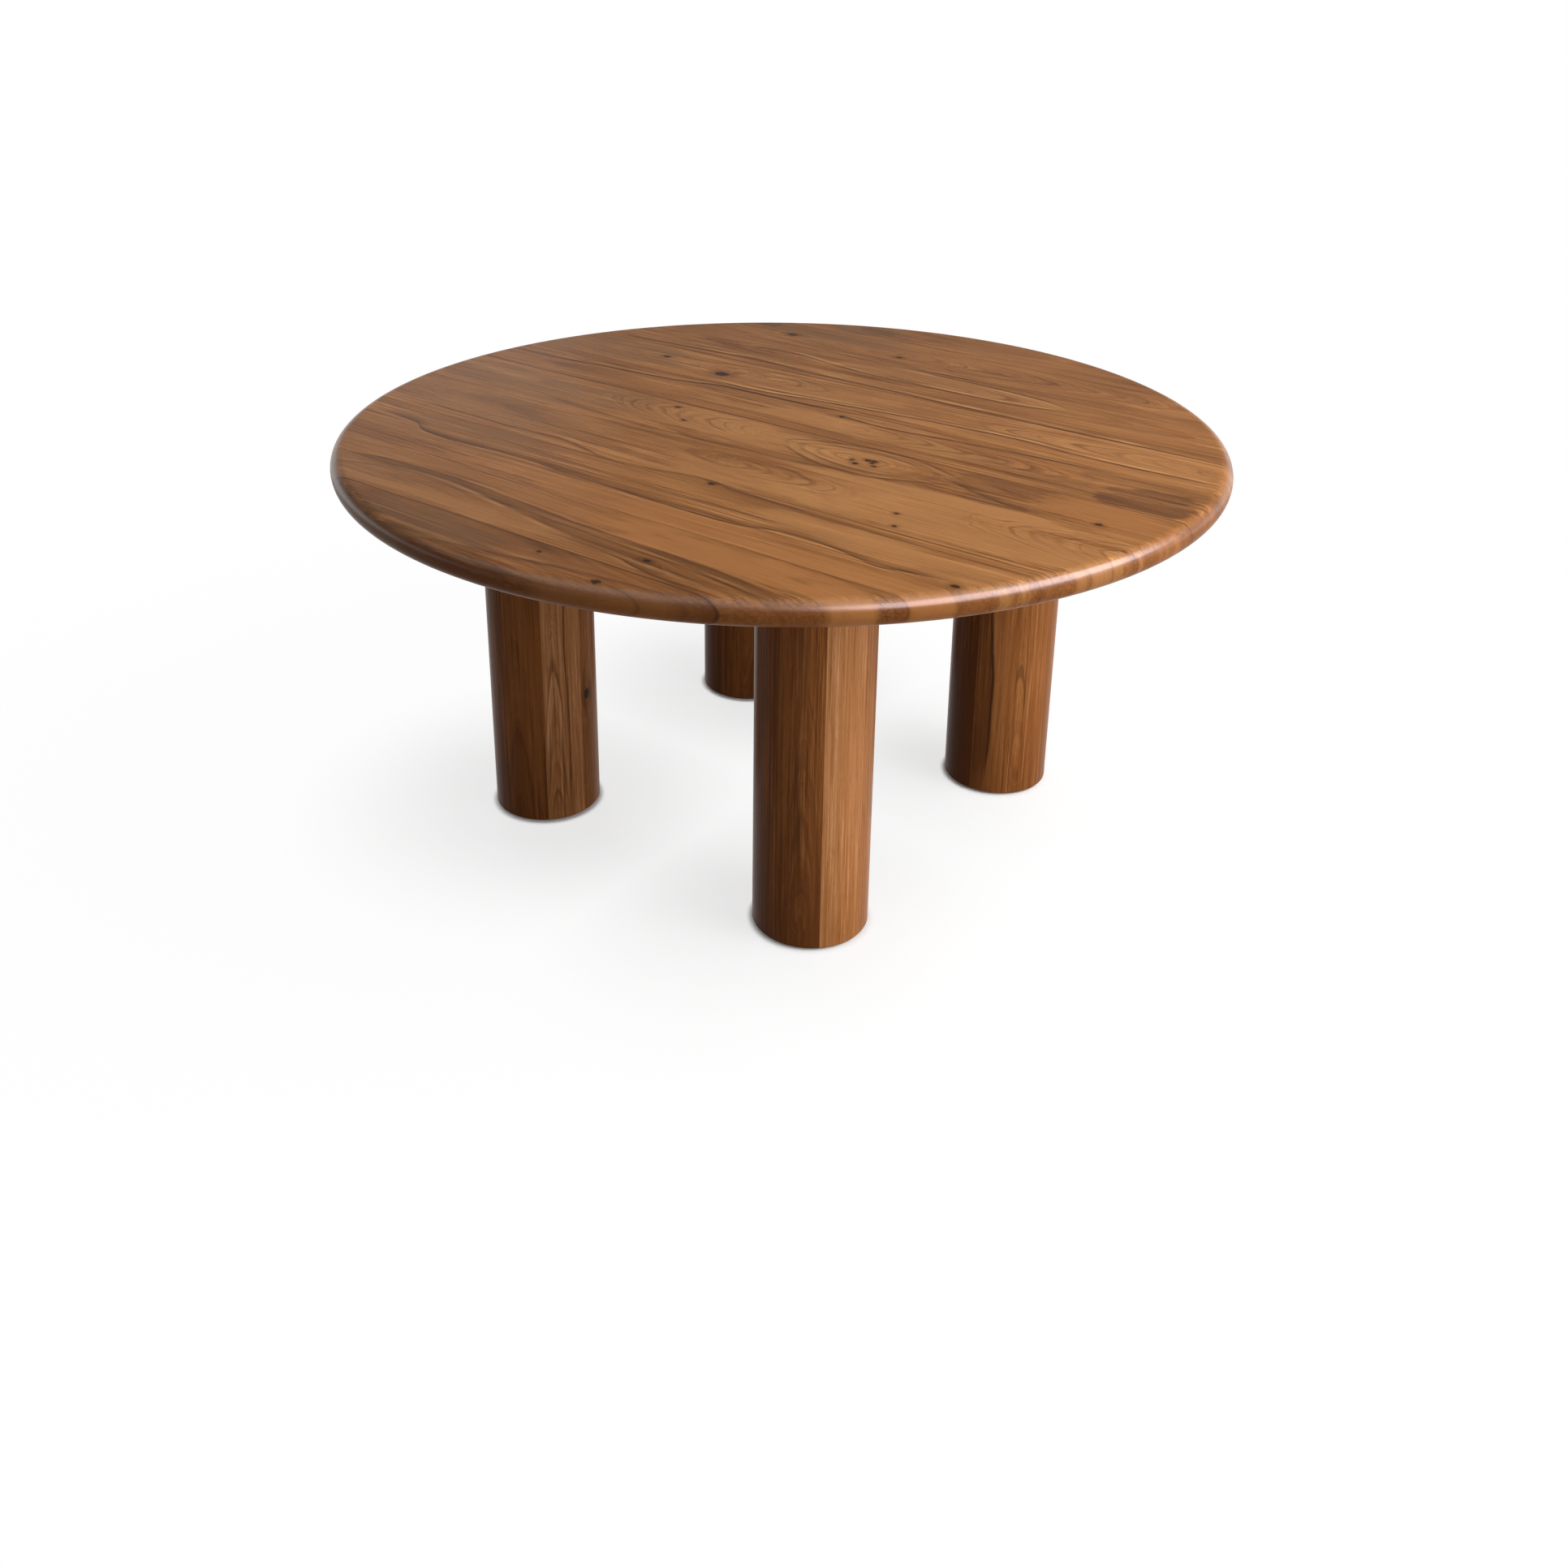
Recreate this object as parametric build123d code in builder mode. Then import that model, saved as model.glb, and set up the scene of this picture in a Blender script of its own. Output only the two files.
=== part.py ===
from build123d import *
import os
from math import asin, cos, radians, sin, sqrt, tan

# Round dining table: a solid-wood top with a full round edge, on four coopered column legs.
# Millimetres, +Z up. The origin is on the floor below the middle of the top. The boards run along X.

# Overall sizes
table_height = 750.0
top_diameter = 1600.0
top_thickness = 44.0
leg_diameter = 200.0
leg_circle_radius = 450.0  # middle of the table to the middle of a leg
leg_angles = (45.0, 135.0, 225.0, 315.0)

# Boards of the top, counted from the -Y rim, as shares of its radius: the place of the first seam, and
# the widths of the full boards that follow. The first and the last board end at the rim.
first_seam_share = -0.85625
board_width_shares = (0.2125, 0.2125, 0.21125, 0.21, 0.18875, 0.19125, 0.215, 0.215)
glue_line = 0.1

# Loose tenons in the seams between the boards
tenon_width = 50.0
tenon_thickness = 8.0
tenon_length = 50.0
tenon_pitch = 260.0
tenon_rim_gap = 120.0
tenon_clearance = 0.15

# Steel C-channels let into the underside, across the boards
channel_width = 40.0
channel_depth = 13.0
channel_wall = 3.0
channel_bend_radius = 2.0
channel_rim_gap = 100.0
channel_leg_gap = 40.0
channel_side_play = 0.5
channel_end_play = 4.0
channel_slot_play = 10.0  # room along a slot for the wood to move
channel_bolt_end_gap = 30.0

# Fasteners: button-head bolts, threaded inserts and wood screws
channel_bolt_diameter = 6.0
channel_bolt_head_diameter = 13.0
channel_bolt_head_height = 3.5
channel_bolt_socket = 4.0
channel_insert_diameter = 9.0
channel_insert_length = 11.0
plate_bolt_diameter = 8.0
plate_bolt_head_diameter = 16.0
plate_bolt_head_height = 4.5
plate_bolt_socket = 5.0
plate_insert_diameter = 12.0
plate_insert_length = 12.0
bolt_tip_gap = 1.5  # end of a bolt to the end of its insert
socket_depth = 2.2
bolt_hole_play = 0.5
thread_clearance = 0.1
insert_clearance = 0.1
insert_hole_extra = 0.5
screw_diameter = 4.8
screw_head_diameter = 9.6
screw_length = 30.0
screw_count = 6
screw_clearance = 0.1

# Leg plates: square steel plates, let in flush above the legs, with a bolt in each corner
plate_thickness = 5.0
plate_corner_radius = 18.0
plate_edge = 18.0  # middle of a bolt to the plate's edge
plate_clearance = 1.0
bolt_tool_gap = 12.0  # leg to bolt head
screw_edge = 24.0  # side of the plug to the middle of a screw

# Column legs: staves glued to a tube, with a plug in each end
stave_count = 8
stave_thickness = 34.0  # at the middle of the flat inner face
foot_round = 4.0
top_plug_thickness = 36.0
foot_plug_thickness = 30.0
foot_plug_recess = 5.0

# Levelling glides
foot_reveal = 3.0  # floor to the bottom of a leg
glide_diameter = 50.0
glide_edge_round = 1.5
glide_travel = 12.0
stem_diameter = 10.0
stem_engagement = 18.0  # thread left in the insert at full travel
stem_tip_chamfer = 1.0
stem_hex_width = 17.0
stem_hex_height = 3.5
hex_clearance = 0.1
foot_insert_diameter = 14.0
foot_insert_length = 20.0
foot_flange_diameter = 24.0
foot_flange_thickness = 2.0

# Heights and radii that follow from the sizes above
underside = table_height - top_thickness
top_radius = top_diameter / 2
rim_round = top_thickness / 2
flat_radius = top_radius - rim_round
leg_radius = leg_diameter / 2
leg_length = underside - foot_reveal
plug_apothem = leg_radius - stave_thickness - glue_line
foot_plug_bottom = foot_reveal + foot_plug_recess
glide_top = foot_plug_bottom - foot_flange_thickness
plate_seat = underside + plate_thickness
channel_seat = underside + channel_wall

# Legs and leg plates: the bolts stand clear of the leg, so that a key reaches them from below
leg_places = [
    (leg_circle_radius * cos(radians(angle)), leg_circle_radius * sin(radians(angle))) for angle in leg_angles
]
leg_offset = max(x for x, y in leg_places)
bolt_offset = (leg_radius + bolt_tool_gap + plate_bolt_head_diameter / 2) / sqrt(2)
plate_side = 2 * (bolt_offset + plate_edge)
plate_bolt_places = [
    (x + side_x * bolt_offset, y + side_y * bolt_offset)
    for x, y in leg_places
    for side_x in (-1, 1)
    for side_y in (-1, 1)
]
screw_circle_radius = plug_apothem - screw_edge

# Seams: each full board starts where the one before it ends
seams = [first_seam_share * top_radius]
for share in board_width_shares:
    seams.append(seams[-1] + share * top_radius)
board_edges = [-top_radius] + seams + [top_radius]
board_middles = [(low + high) / 2 for low, high in zip(board_edges, board_edges[1:])]

# The tenons lie halfway between the top face and the deepest insert hole, so no bolt can meet one
deepest_hole = plate_seat + plate_insert_length + insert_hole_extra
tenon_height = (deepest_hole + table_height) / 2


def seam_plane(seam):
    """The upright plane of a seam, at the height of the tenons."""
    return Plane(origin=(0, seam, tenon_height), x_dir=(1, 0, 0), z_dir=(0, 1, 0))


def tenon_places(seam):
    """Middles of the tenons along a seam, evenly spread between the rim gaps."""
    reach = sqrt(flat_radius**2 - seam**2) - tenon_rim_gap
    count = max(1, 1 + int(2 * reach / tenon_pitch))
    spacing = 2 * reach / max(1, count - 1)
    return [((index - (count - 1) / 2) * spacing, 0) for index in range(count)]


# Channels: one across the middle, and one outside each pair of legs
outer_channel = leg_offset + plate_side / 2 + channel_leg_gap + channel_width / 2
channel_lines = {"channel_left": -outer_channel, "channel_middle": 0.0, "channel_right": outer_channel}


def channel_reach(line):
    """Half the length of the channel on this line."""
    return sqrt(flat_radius**2 - (abs(line) + channel_width / 2) ** 2) - channel_rim_gap


def channel_bolt_places(line):
    """One bolt in the middle of each board that the channel crosses."""
    limit = channel_reach(line) - channel_bolt_end_gap
    return [(line, middle) for middle in board_middles if abs(middle) < limit]


all_channel_bolts = [place for line in channel_lines.values() for place in channel_bolt_places(line)]

os.makedirs("parts", exist_ok=True)

# Blank of the top: glued up, turned to its round edge and routed, before it is parted into boards
with BuildPart() as top_blank:
    with BuildSketch(Plane.XZ):
        with BuildLine():
            Line((0, underside), (flat_radius, underside))
            ThreePointArc(
                (flat_radius, underside),
                (top_radius, underside + rim_round),
                (flat_radius, table_height),
            )
            Polyline((flat_radius, table_height), (0, table_height), (0, underside))
        make_face()
    revolve(axis=Axis.Z)

    # Recesses of the leg plates, and the insert holes above them
    recess_side = plate_side + 2 * plate_clearance
    with BuildSketch(Plane.XY.offset(underside)):
        with Locations(*leg_places):
            RectangleRounded(recess_side, recess_side, plate_corner_radius + plate_clearance)
    extrude(amount=plate_thickness, mode=Mode.SUBTRACT)
    with BuildSketch(Plane.XY.offset(plate_seat)):
        with Locations(*plate_bolt_places):
            Circle(plate_insert_diameter / 2 + insert_clearance)
    extrude(amount=plate_insert_length + insert_hole_extra, mode=Mode.SUBTRACT)

    # Grooves of the channels: a shallow one for the web, and two narrow deep ones for the flanges
    flange_offset = (channel_width - channel_wall) / 2
    for line in channel_lines.values():
        groove_length = 2 * (channel_reach(line) + channel_end_play)
        with BuildSketch(Plane.XY.offset(underside)):
            with Locations((line, 0)):
                Rectangle(channel_width + 2 * channel_side_play, groove_length)
        extrude(amount=channel_wall, mode=Mode.SUBTRACT)
        with BuildSketch(Plane.XY.offset(underside)):
            with Locations((line - flange_offset, 0), (line + flange_offset, 0)):
                Rectangle(channel_wall + 2 * channel_side_play, groove_length)
        extrude(amount=channel_depth + channel_side_play, mode=Mode.SUBTRACT)
    with BuildSketch(Plane.XY.offset(channel_seat)):
        with Locations(*all_channel_bolts):
            Circle(channel_insert_diameter / 2 + insert_clearance)
    extrude(amount=channel_insert_length + insert_hole_extra, mode=Mode.SUBTRACT)

# Boards of the top, parted at the seams, with a mortise for each tenon
for number, (low, high) in enumerate(zip(board_edges, board_edges[1:]), start=1):
    with BuildPart() as board:
        add(top_blank.part)
        if low in seams:
            split(bisect_by=Plane(origin=(0, low + glue_line / 2, 0), z_dir=(0, 1, 0)), keep=Keep.TOP)
        if high in seams:
            split(bisect_by=Plane(origin=(0, high - glue_line / 2, 0), z_dir=(0, 1, 0)), keep=Keep.BOTTOM)
        for seam in (edge for edge in (low, high) if edge in seams):
            with BuildSketch(seam_plane(seam)):
                with Locations(*tenon_places(seam)):
                    SlotOverall(tenon_width + 2 * tenon_clearance, tenon_thickness + 2 * tenon_clearance)
            extrude(amount=tenon_length / 2 + tenon_clearance, both=True, mode=Mode.SUBTRACT)
    board.part.label = f"top_board_{number:02d}"
    export_step(board.part, f"parts/{board.part.label}.step")

# Loose tenons, each half in one board and half in the next
with BuildPart() as board_tenons:
    for seam in seams:
        with BuildSketch(seam_plane(seam)):
            with Locations(*tenon_places(seam)):
                SlotOverall(tenon_width, tenon_thickness)
        extrude(amount=tenon_length / 2, both=True)
board_tenons.part.label = "board_tenons"
export_step(board_tenons.part, "parts/board_tenons.step")

# C-channels: web flush with the underside, flanges up into the boards, slots for the bolts
slot_width = channel_bolt_diameter + 2 * bolt_hole_play
for name, line in channel_lines.items():
    reach = channel_reach(line)
    channel_end = Plane(origin=(line, -reach, underside), x_dir=(1, 0, 0), z_dir=(0, -1, 0))
    with BuildPart() as channel:
        with BuildSketch(channel_end) as section:
            Rectangle(channel_width, channel_depth, align=(Align.CENTER, Align.MIN))
            fillet(section.vertices().group_by(Axis.Y)[0], radius=channel_bend_radius)
            with Locations((0, channel_wall)):
                Rectangle(
                    channel_width - 2 * channel_wall,
                    channel_depth,
                    align=(Align.CENTER, Align.MIN),
                    mode=Mode.SUBTRACT,
                )
        extrude(amount=-2 * reach)
        with BuildSketch(Plane.XY.offset(underside)):
            with Locations(*channel_bolt_places(line)):
                SlotOverall(slot_width + channel_slot_play, slot_width, rotation=90)
        extrude(amount=channel_wall, mode=Mode.SUBTRACT)
    channel.part.label = name
    export_step(channel.part, f"parts/{name}.step")


def make_bolt(diameter, head_diameter, head_height, socket, length):
    """A button-head bolt with a hex socket: its seat is at z = 0 and its shank points up."""
    with BuildPart() as bolt:
        Cylinder(head_diameter / 2, head_height, align=(Align.CENTER, Align.CENTER, Align.MAX))
        fillet(bolt.edges().sort_by(Axis.Z)[0], radius=0.7 * head_height)
        with BuildSketch(Plane.XY.offset(-head_height)):
            RegularPolygon(socket / 2, 6, major_radius=False)
        extrude(amount=socket_depth, mode=Mode.SUBTRACT)
        Cylinder(diameter / 2 - thread_clearance, length, align=(Align.CENTER, Align.CENTER, Align.MIN))
    return bolt.part


def make_insert(diameter, bore, length):
    """A threaded insert: a sleeve that stands on z = 0."""
    with BuildPart() as insert:
        Cylinder(diameter / 2, length, align=(Align.CENTER, Align.CENTER, Align.MIN))
        Cylinder(bore / 2, length, align=(Align.CENTER, Align.CENTER, Align.MIN), mode=Mode.SUBTRACT)
    return insert.part


# Bolts and inserts of the channels
channel_bolt = make_bolt(
    channel_bolt_diameter,
    channel_bolt_head_diameter,
    channel_bolt_head_height,
    channel_bolt_socket,
    channel_wall + channel_insert_length - bolt_tip_gap,
)
channel_insert = make_insert(channel_insert_diameter, channel_bolt_diameter, channel_insert_length)
with BuildPart() as channel_bolts:
    with Locations(*[(x, y, underside) for x, y in all_channel_bolts]):
        add(channel_bolt)
channel_bolts.part.label = "channel_bolts"
export_step(channel_bolts.part, "parts/channel_bolts.step")
with BuildPart() as channel_inserts:
    with Locations(*[(x, y, channel_seat) for x, y in all_channel_bolts]):
        add(channel_insert)
channel_inserts.part.label = "channel_inserts"
export_step(channel_inserts.part, "parts/channel_inserts.step")

# Bolts and inserts of the leg plates
plate_bolt = make_bolt(
    plate_bolt_diameter,
    plate_bolt_head_diameter,
    plate_bolt_head_height,
    plate_bolt_socket,
    plate_thickness + plate_insert_length - bolt_tip_gap,
)
plate_insert = make_insert(plate_insert_diameter, plate_bolt_diameter, plate_insert_length)
with BuildPart() as plate_bolts:
    with Locations(*[(x, y, underside) for x, y in plate_bolt_places]):
        add(plate_bolt)
plate_bolts.part.label = "plate_bolts"
export_step(plate_bolts.part, "parts/plate_bolts.step")
with BuildPart() as plate_inserts:
    with Locations(*[(x, y, plate_seat) for x, y in plate_bolt_places]):
        add(plate_insert)
plate_inserts.part.label = "plate_inserts"
export_step(plate_inserts.part, "parts/plate_inserts.step")

# Countersunk wood screws, from the leg plates down into the top plugs
screw_radius = screw_diameter / 2
screw_head_radius = screw_head_diameter / 2
with BuildPart() as screw:
    with BuildSketch(Plane.XZ):
        with BuildLine():
            Polyline(
                (0, 0),
                (screw_head_radius, 0),
                (screw_radius, screw_radius - screw_head_radius),
                (screw_radius, 2 * screw_radius - screw_length),
                (0, -screw_length),
                close=True,
            )
        make_face()
    revolve(axis=Axis.Z)
with BuildPart() as plate_screws:
    for x, y in leg_places:
        with Locations((x, y, plate_seat)):
            with PolarLocations(screw_circle_radius, screw_count):
                add(screw.part)
plate_screws.part.label = "plate_screws"
export_step(plate_screws.part, "parts/plate_screws.step")

# Section of one stave, with its middle along +X: bevelled sides, flat inside, turned round outside
stave_half_angle = 180.0 / stave_count
stave_bevel = radians(stave_half_angle)
stave_edge_angle = stave_bevel - asin(glue_line / leg_diameter)
stave_inside = leg_radius - stave_thickness
stave_inner_half = stave_inside * tan(stave_bevel) - glue_line / 2 / cos(stave_bevel)
outer_corner = (leg_radius * cos(stave_edge_angle), leg_radius * sin(stave_edge_angle))
with BuildSketch() as stave_section:
    with BuildLine():
        ThreePointArc((outer_corner[0], -outer_corner[1]), (leg_radius, 0), outer_corner)
        Polyline(
            outer_corner,
            (stave_inside, stave_inner_half),
            (stave_inside, -stave_inner_half),
            (outer_corner[0], -outer_corner[1]),
        )
    make_face()

# Column legs, from the floor up: glide, insert, plugs, staves and plate
for number, (x, y) in enumerate(leg_places, start=1):
    with BuildPart() as staves:
        with BuildSketch(Plane((x, y, foot_reveal))):
            with PolarLocations(0, stave_count, start_angle=stave_half_angle):
                add(stave_section.sketch)
        extrude(amount=leg_length)
        foot_arcs = staves.edges().filter_by(GeomType.CIRCLE).group_by(Axis.Z)[0]
        fillet(foot_arcs, radius=foot_round)
    staves.part.label = f"leg_{number}_staves"
    export_step(staves.part, f"parts/{staves.part.label}.step")

    with BuildPart() as top_plug:
        with BuildSketch(Plane((x, y, underside))):
            RegularPolygon(plug_apothem, stave_count, major_radius=False)
            with PolarLocations(screw_circle_radius, screw_count):
                Circle(screw_radius + screw_clearance, mode=Mode.SUBTRACT)
        extrude(amount=-top_plug_thickness)
    top_plug.part.label = f"leg_{number}_top_plug"
    export_step(top_plug.part, f"parts/{top_plug.part.label}.step")

    with BuildPart() as foot_plug:
        with BuildSketch(Plane((x, y, foot_plug_bottom))):
            RegularPolygon(plug_apothem, stave_count, major_radius=False)
            Circle(foot_insert_diameter / 2 + insert_clearance, mode=Mode.SUBTRACT)
        extrude(amount=foot_plug_thickness)
    foot_plug.part.label = f"leg_{number}_foot_plug"
    export_step(foot_plug.part, f"parts/{foot_plug.part.label}.step")

    with BuildPart() as plate:
        with BuildSketch(Plane((x, y, underside))):
            RectangleRounded(plate_side, plate_side, plate_corner_radius)
            with GridLocations(2 * bolt_offset, 2 * bolt_offset, 2, 2):
                Circle(plate_bolt_diameter / 2 + bolt_hole_play, mode=Mode.SUBTRACT)
        extrude(amount=plate_thickness)
        with Locations(Plane((x, y, plate_seat))):
            with PolarLocations(screw_circle_radius, screw_count):
                CounterSinkHole(
                    screw_radius + screw_clearance,
                    screw_head_radius + screw_clearance,
                    depth=plate_thickness,
                    counter_sink_angle=90,
                )
    plate.part.label = f"leg_{number}_plate"
    export_step(plate.part, f"parts/{plate.part.label}.step")

    with BuildPart() as foot_insert:
        with Locations((x, y, glide_top)):
            Cylinder(
                foot_flange_diameter / 2,
                foot_flange_thickness,
                align=(Align.CENTER, Align.CENTER, Align.MIN),
            )
            Cylinder(
                foot_insert_diameter / 2,
                foot_insert_length,
                align=(Align.CENTER, Align.CENTER, Align.MIN),
            )
            Cylinder(
                stem_diameter / 2,
                foot_insert_length,
                align=(Align.CENTER, Align.CENTER, Align.MIN),
                mode=Mode.SUBTRACT,
            )
    foot_insert.part.label = f"leg_{number}_foot_insert"
    export_step(foot_insert.part, f"parts/{foot_insert.part.label}.step")

    with BuildPart() as glide_stem:
        with BuildSketch(Plane((x, y, glide_top))):
            RegularPolygon(stem_hex_width / 2, 6, major_radius=False)
        extrude(amount=-stem_hex_height)
        with Locations((x, y, glide_top)):
            Cylinder(
                stem_diameter / 2 - thread_clearance,
                glide_travel + stem_engagement,
                align=(Align.CENTER, Align.CENTER, Align.MIN),
            )
        chamfer(glide_stem.edges().sort_by(Axis.Z)[-1], length=stem_tip_chamfer)
    glide_stem.part.label = f"leg_{number}_glide_stem"
    export_step(glide_stem.part, f"parts/{glide_stem.part.label}.step")

    with BuildPart() as glide_base:
        with Locations((x, y, 0)):
            Cylinder(glide_diameter / 2, glide_top, align=(Align.CENTER, Align.CENTER, Align.MIN))
        fillet(glide_base.edges().group_by(Axis.Z)[0], radius=glide_edge_round)
        with BuildSketch(Plane((x, y, glide_top))):
            RegularPolygon(stem_hex_width / 2 + hex_clearance, 6, major_radius=False)
        extrude(amount=-stem_hex_height, mode=Mode.SUBTRACT)
    glide_base.part.label = f"leg_{number}_glide_base"
    export_step(glide_base.part, f"parts/{glide_base.part.label}.step")
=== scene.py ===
# %% [markdown]
# # A round walnut dining table
# The table has a wide round top of edge-glued boards with a full round edge. It stands on four
# thick column legs, each glued up from eight staves and turned. The frame holds every piece at its
# real size, so this script gives the wood and metal their finish, models the threads of the
# levelling glides, and sets the studio.

# %% Load the frame
import math

import bmesh
import bpy
from mathutils import Matrix, Vector


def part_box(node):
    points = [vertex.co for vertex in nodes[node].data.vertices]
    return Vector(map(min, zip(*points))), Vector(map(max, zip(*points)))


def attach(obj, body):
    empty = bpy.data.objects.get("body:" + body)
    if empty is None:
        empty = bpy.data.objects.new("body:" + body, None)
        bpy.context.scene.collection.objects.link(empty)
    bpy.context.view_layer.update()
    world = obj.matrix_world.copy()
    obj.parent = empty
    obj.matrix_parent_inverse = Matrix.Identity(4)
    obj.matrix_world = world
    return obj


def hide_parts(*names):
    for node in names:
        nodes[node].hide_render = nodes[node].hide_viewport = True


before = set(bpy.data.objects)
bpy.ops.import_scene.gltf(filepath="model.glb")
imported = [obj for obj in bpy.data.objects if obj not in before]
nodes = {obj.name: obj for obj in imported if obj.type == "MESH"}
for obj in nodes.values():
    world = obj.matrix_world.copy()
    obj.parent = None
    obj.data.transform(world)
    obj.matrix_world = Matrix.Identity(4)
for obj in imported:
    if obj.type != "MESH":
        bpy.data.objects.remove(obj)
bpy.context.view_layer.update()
board_names = sorted(name for name in nodes if name.startswith("top_board_"))
leg_numbers = (1, 2, 3, 4)
table_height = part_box("top_board_06")[1].z
print(len(nodes), "nodes, table height", round(table_height, 3))

# %% [markdown]
# ## Camera
# The photograph was taken from standing height, a little to one side of a corner of the table. The
# camera is placed by how far it stands from the table's middle, then turned about the table. A
# small lens shift moves the picture the way a view camera's rising front does, so the legs stay in
# the frame without tipping the camera further.

# %% Camera
IMAGE_PIXELS = 1932
FOCAL_PIXELS = 1899.5
CENTRE_PIXELS = (926.7, 640.0)
camera_turn = math.radians(37.99)
camera_pitch = math.radians(21.0)
camera_roll = math.radians(0.41)
camera_distance = 2.698
camera_side = -0.050
camera_height = 1.599

camera_data = bpy.data.cameras.new("photo_camera")
camera_data.sensor_width = 36.0
camera_data.lens = 36.0 * FOCAL_PIXELS / IMAGE_PIXELS
camera_data.shift_x = (IMAGE_PIXELS / 2 - CENTRE_PIXELS[0]) / IMAGE_PIXELS
camera_data.shift_y = (CENTRE_PIXELS[1] - IMAGE_PIXELS / 2) / IMAGE_PIXELS
camera = bpy.data.objects.new("photo_camera", camera_data)
bpy.context.scene.collection.objects.link(camera)
camera.matrix_world = (
    Matrix.Rotation(camera_turn, 4, "Z")
    @ Matrix.Translation((camera_side, -camera_distance, camera_height))
    @ Matrix.Rotation(math.pi / 2 - camera_pitch, 4, "X")
    @ Matrix.Rotation(camera_roll, 4, "Z")
)
bpy.context.scene.camera = camera
print("camera at", [round(value, 3) for value in camera.matrix_world.translation])

# %% [markdown]
# ## A helper for node trees
# A wood finish needs many small steps of arithmetic. This helper wraps the calls that add a node
# and link it, so that each step of the finish reads as one line.


# %% Node helper
class Shading:
    """Adds nodes to one material and links them; numbers and sockets may both be passed as inputs."""

    def __init__(self, name):
        self.material = bpy.data.materials.new(name)
        self.material.use_nodes = True
        self.tree = self.material.node_tree
        self.shader = self.tree.nodes["Principled BSDF"]

    def put(self, socket, value):
        """Links a socket to an input, or sets the input to a number, vector or colour."""
        if isinstance(value, bpy.types.NodeSocket):
            self.tree.links.new(value, socket)
        else:
            socket.default_value = value

    def node(self, kind, **settings):
        made = self.tree.nodes.new(kind)
        for key, value in settings.items():
            setattr(made, key, value)
        return made

    def math(self, operation, first, second=0.0, third=0.0):
        made = self.node("ShaderNodeMath", operation=operation)
        for socket, value in zip(made.inputs, (first, second, third)):
            self.put(socket, value)
        return made.outputs[0]

    def add(self, *terms):
        total = terms[0]
        for term in terms[1:]:
            total = self.math("ADD", total, term)
        return total

    def subtract(self, first, second):
        return self.math("SUBTRACT", first, second)

    def times(self, *factors):
        product = factors[0]
        for factor in factors[1:]:
            product = self.math("MULTIPLY", product, factor)
        return product

    def vector(self, x, y, z):
        made = self.node("ShaderNodeCombineXYZ")
        for socket, value in zip(made.inputs, (x, y, z)):
            self.put(socket, value)
        return made.outputs[0]

    def noise(self, position, detail=2.0, roughness=0.5):
        """Noise from 0 to 1, with its middle at 0.5; the position carries the scale."""
        made = self.node("ShaderNodeTexNoise")
        settings = {"Vector": position, "Scale": 1.0, "Detail": detail, "Roughness": roughness}
        for name, value in settings.items():
            self.put(made.inputs[name], value)
        return made.outputs[0]

    def swing(self, position, amount, detail=2.0):
        """Noise that swings about 0, by about half the amount each way."""
        return self.times(self.subtract(self.noise(position, detail), 0.5), amount)

    def fade(self, value, low, high, start=0.0, end=1.0):
        """A smooth step from start to end as the value goes from low to high."""
        made = self.node("ShaderNodeMapRange", interpolation_type="SMOOTHSTEP")
        for socket, number in zip(made.inputs, (value, low, high, start, end)):
            self.put(socket, number)
        return made.outputs[0]

    def bell(self, distance, width):
        """1 where the distance is 0, and down to about a third at the width."""
        ratio = self.math("DIVIDE", distance, width)
        return self.math("EXPONENT", self.times(ratio, ratio, -1.0))

    def ramp(self, value, stops, interpolation="LINEAR"):
        made = self.node("ShaderNodeValToRGB")
        made.color_ramp.interpolation = interpolation
        elements = made.color_ramp.elements
        while len(elements) < len(stops):
            elements.new(0.5)
        for element, (place, colour) in zip(elements, stops):
            element.position = place
            element.color = (*colour, 1.0)
        self.put(made.inputs[0], value)
        return made.outputs[0]

    def blend(self, share, first, second, kind="MIX"):
        made = self.node("ShaderNodeMix", data_type="RGBA", blend_type=kind)
        for name, value in (("Factor_Float", share), ("A_Color", first), ("B_Color", second)):
            socket = next(item for item in made.inputs if item.identifier == name)
            self.put(socket, value if isinstance(value, (float, bpy.types.NodeSocket)) else (*value, 1.0))
        return next(item for item in made.outputs if item.identifier == "Result_Color")

    def curve(self, value, points, low=-0.8, high=0.8):
        """A smooth line through a few points, given in millimetres; the value runs from low to high."""
        made = self.node("ShaderNodeFloatCurve")
        spots = [tuple((number / 1000 - low) / (high - low) for number in point) for point in points]
        line = made.mapping.curves[0].points
        line[0].location, line[1].location = spots[0], spots[-1]
        for spot in spots[1:-1]:
            line.new(*spot)
        made.mapping.update()
        share = self.math("DIVIDE", self.subtract(value, low), high - low)
        self.put(made.inputs["Value"], share)
        return self.math("MULTIPLY_ADD", made.outputs[0], high - low, low)

    def split(self, source):
        """The three numbers of a vector or colour."""
        made = self.node("ShaderNodeSeparateXYZ")
        self.put(made.inputs[0], source)
        return made.outputs

    def place(self):
        """Object coordinates, as x, y and z."""
        return self.split(self.node("ShaderNodeTexCoord").outputs["Object"])

    def length(self, over, beside):
        """How long the diagonal of two distances is."""
        return self.math("SQRT", self.add(self.times(over, over), self.times(beside, beside)))

    def bump(self, height, strength, distance):
        made = self.node("ShaderNodeBump")
        made.inputs["Strength"].default_value = strength
        made.inputs["Distance"].default_value = distance
        self.put(made.inputs["Height"], height)
        self.put(self.shader.inputs["Normal"], made.outputs[0])

    def finish(self, colour, roughness, metallic=0.0):
        self.put(self.shader.inputs["Base Color"], colour)
        self.put(self.shader.inputs["Roughness"], roughness)
        self.shader.inputs["Metallic"].default_value = metallic


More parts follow.
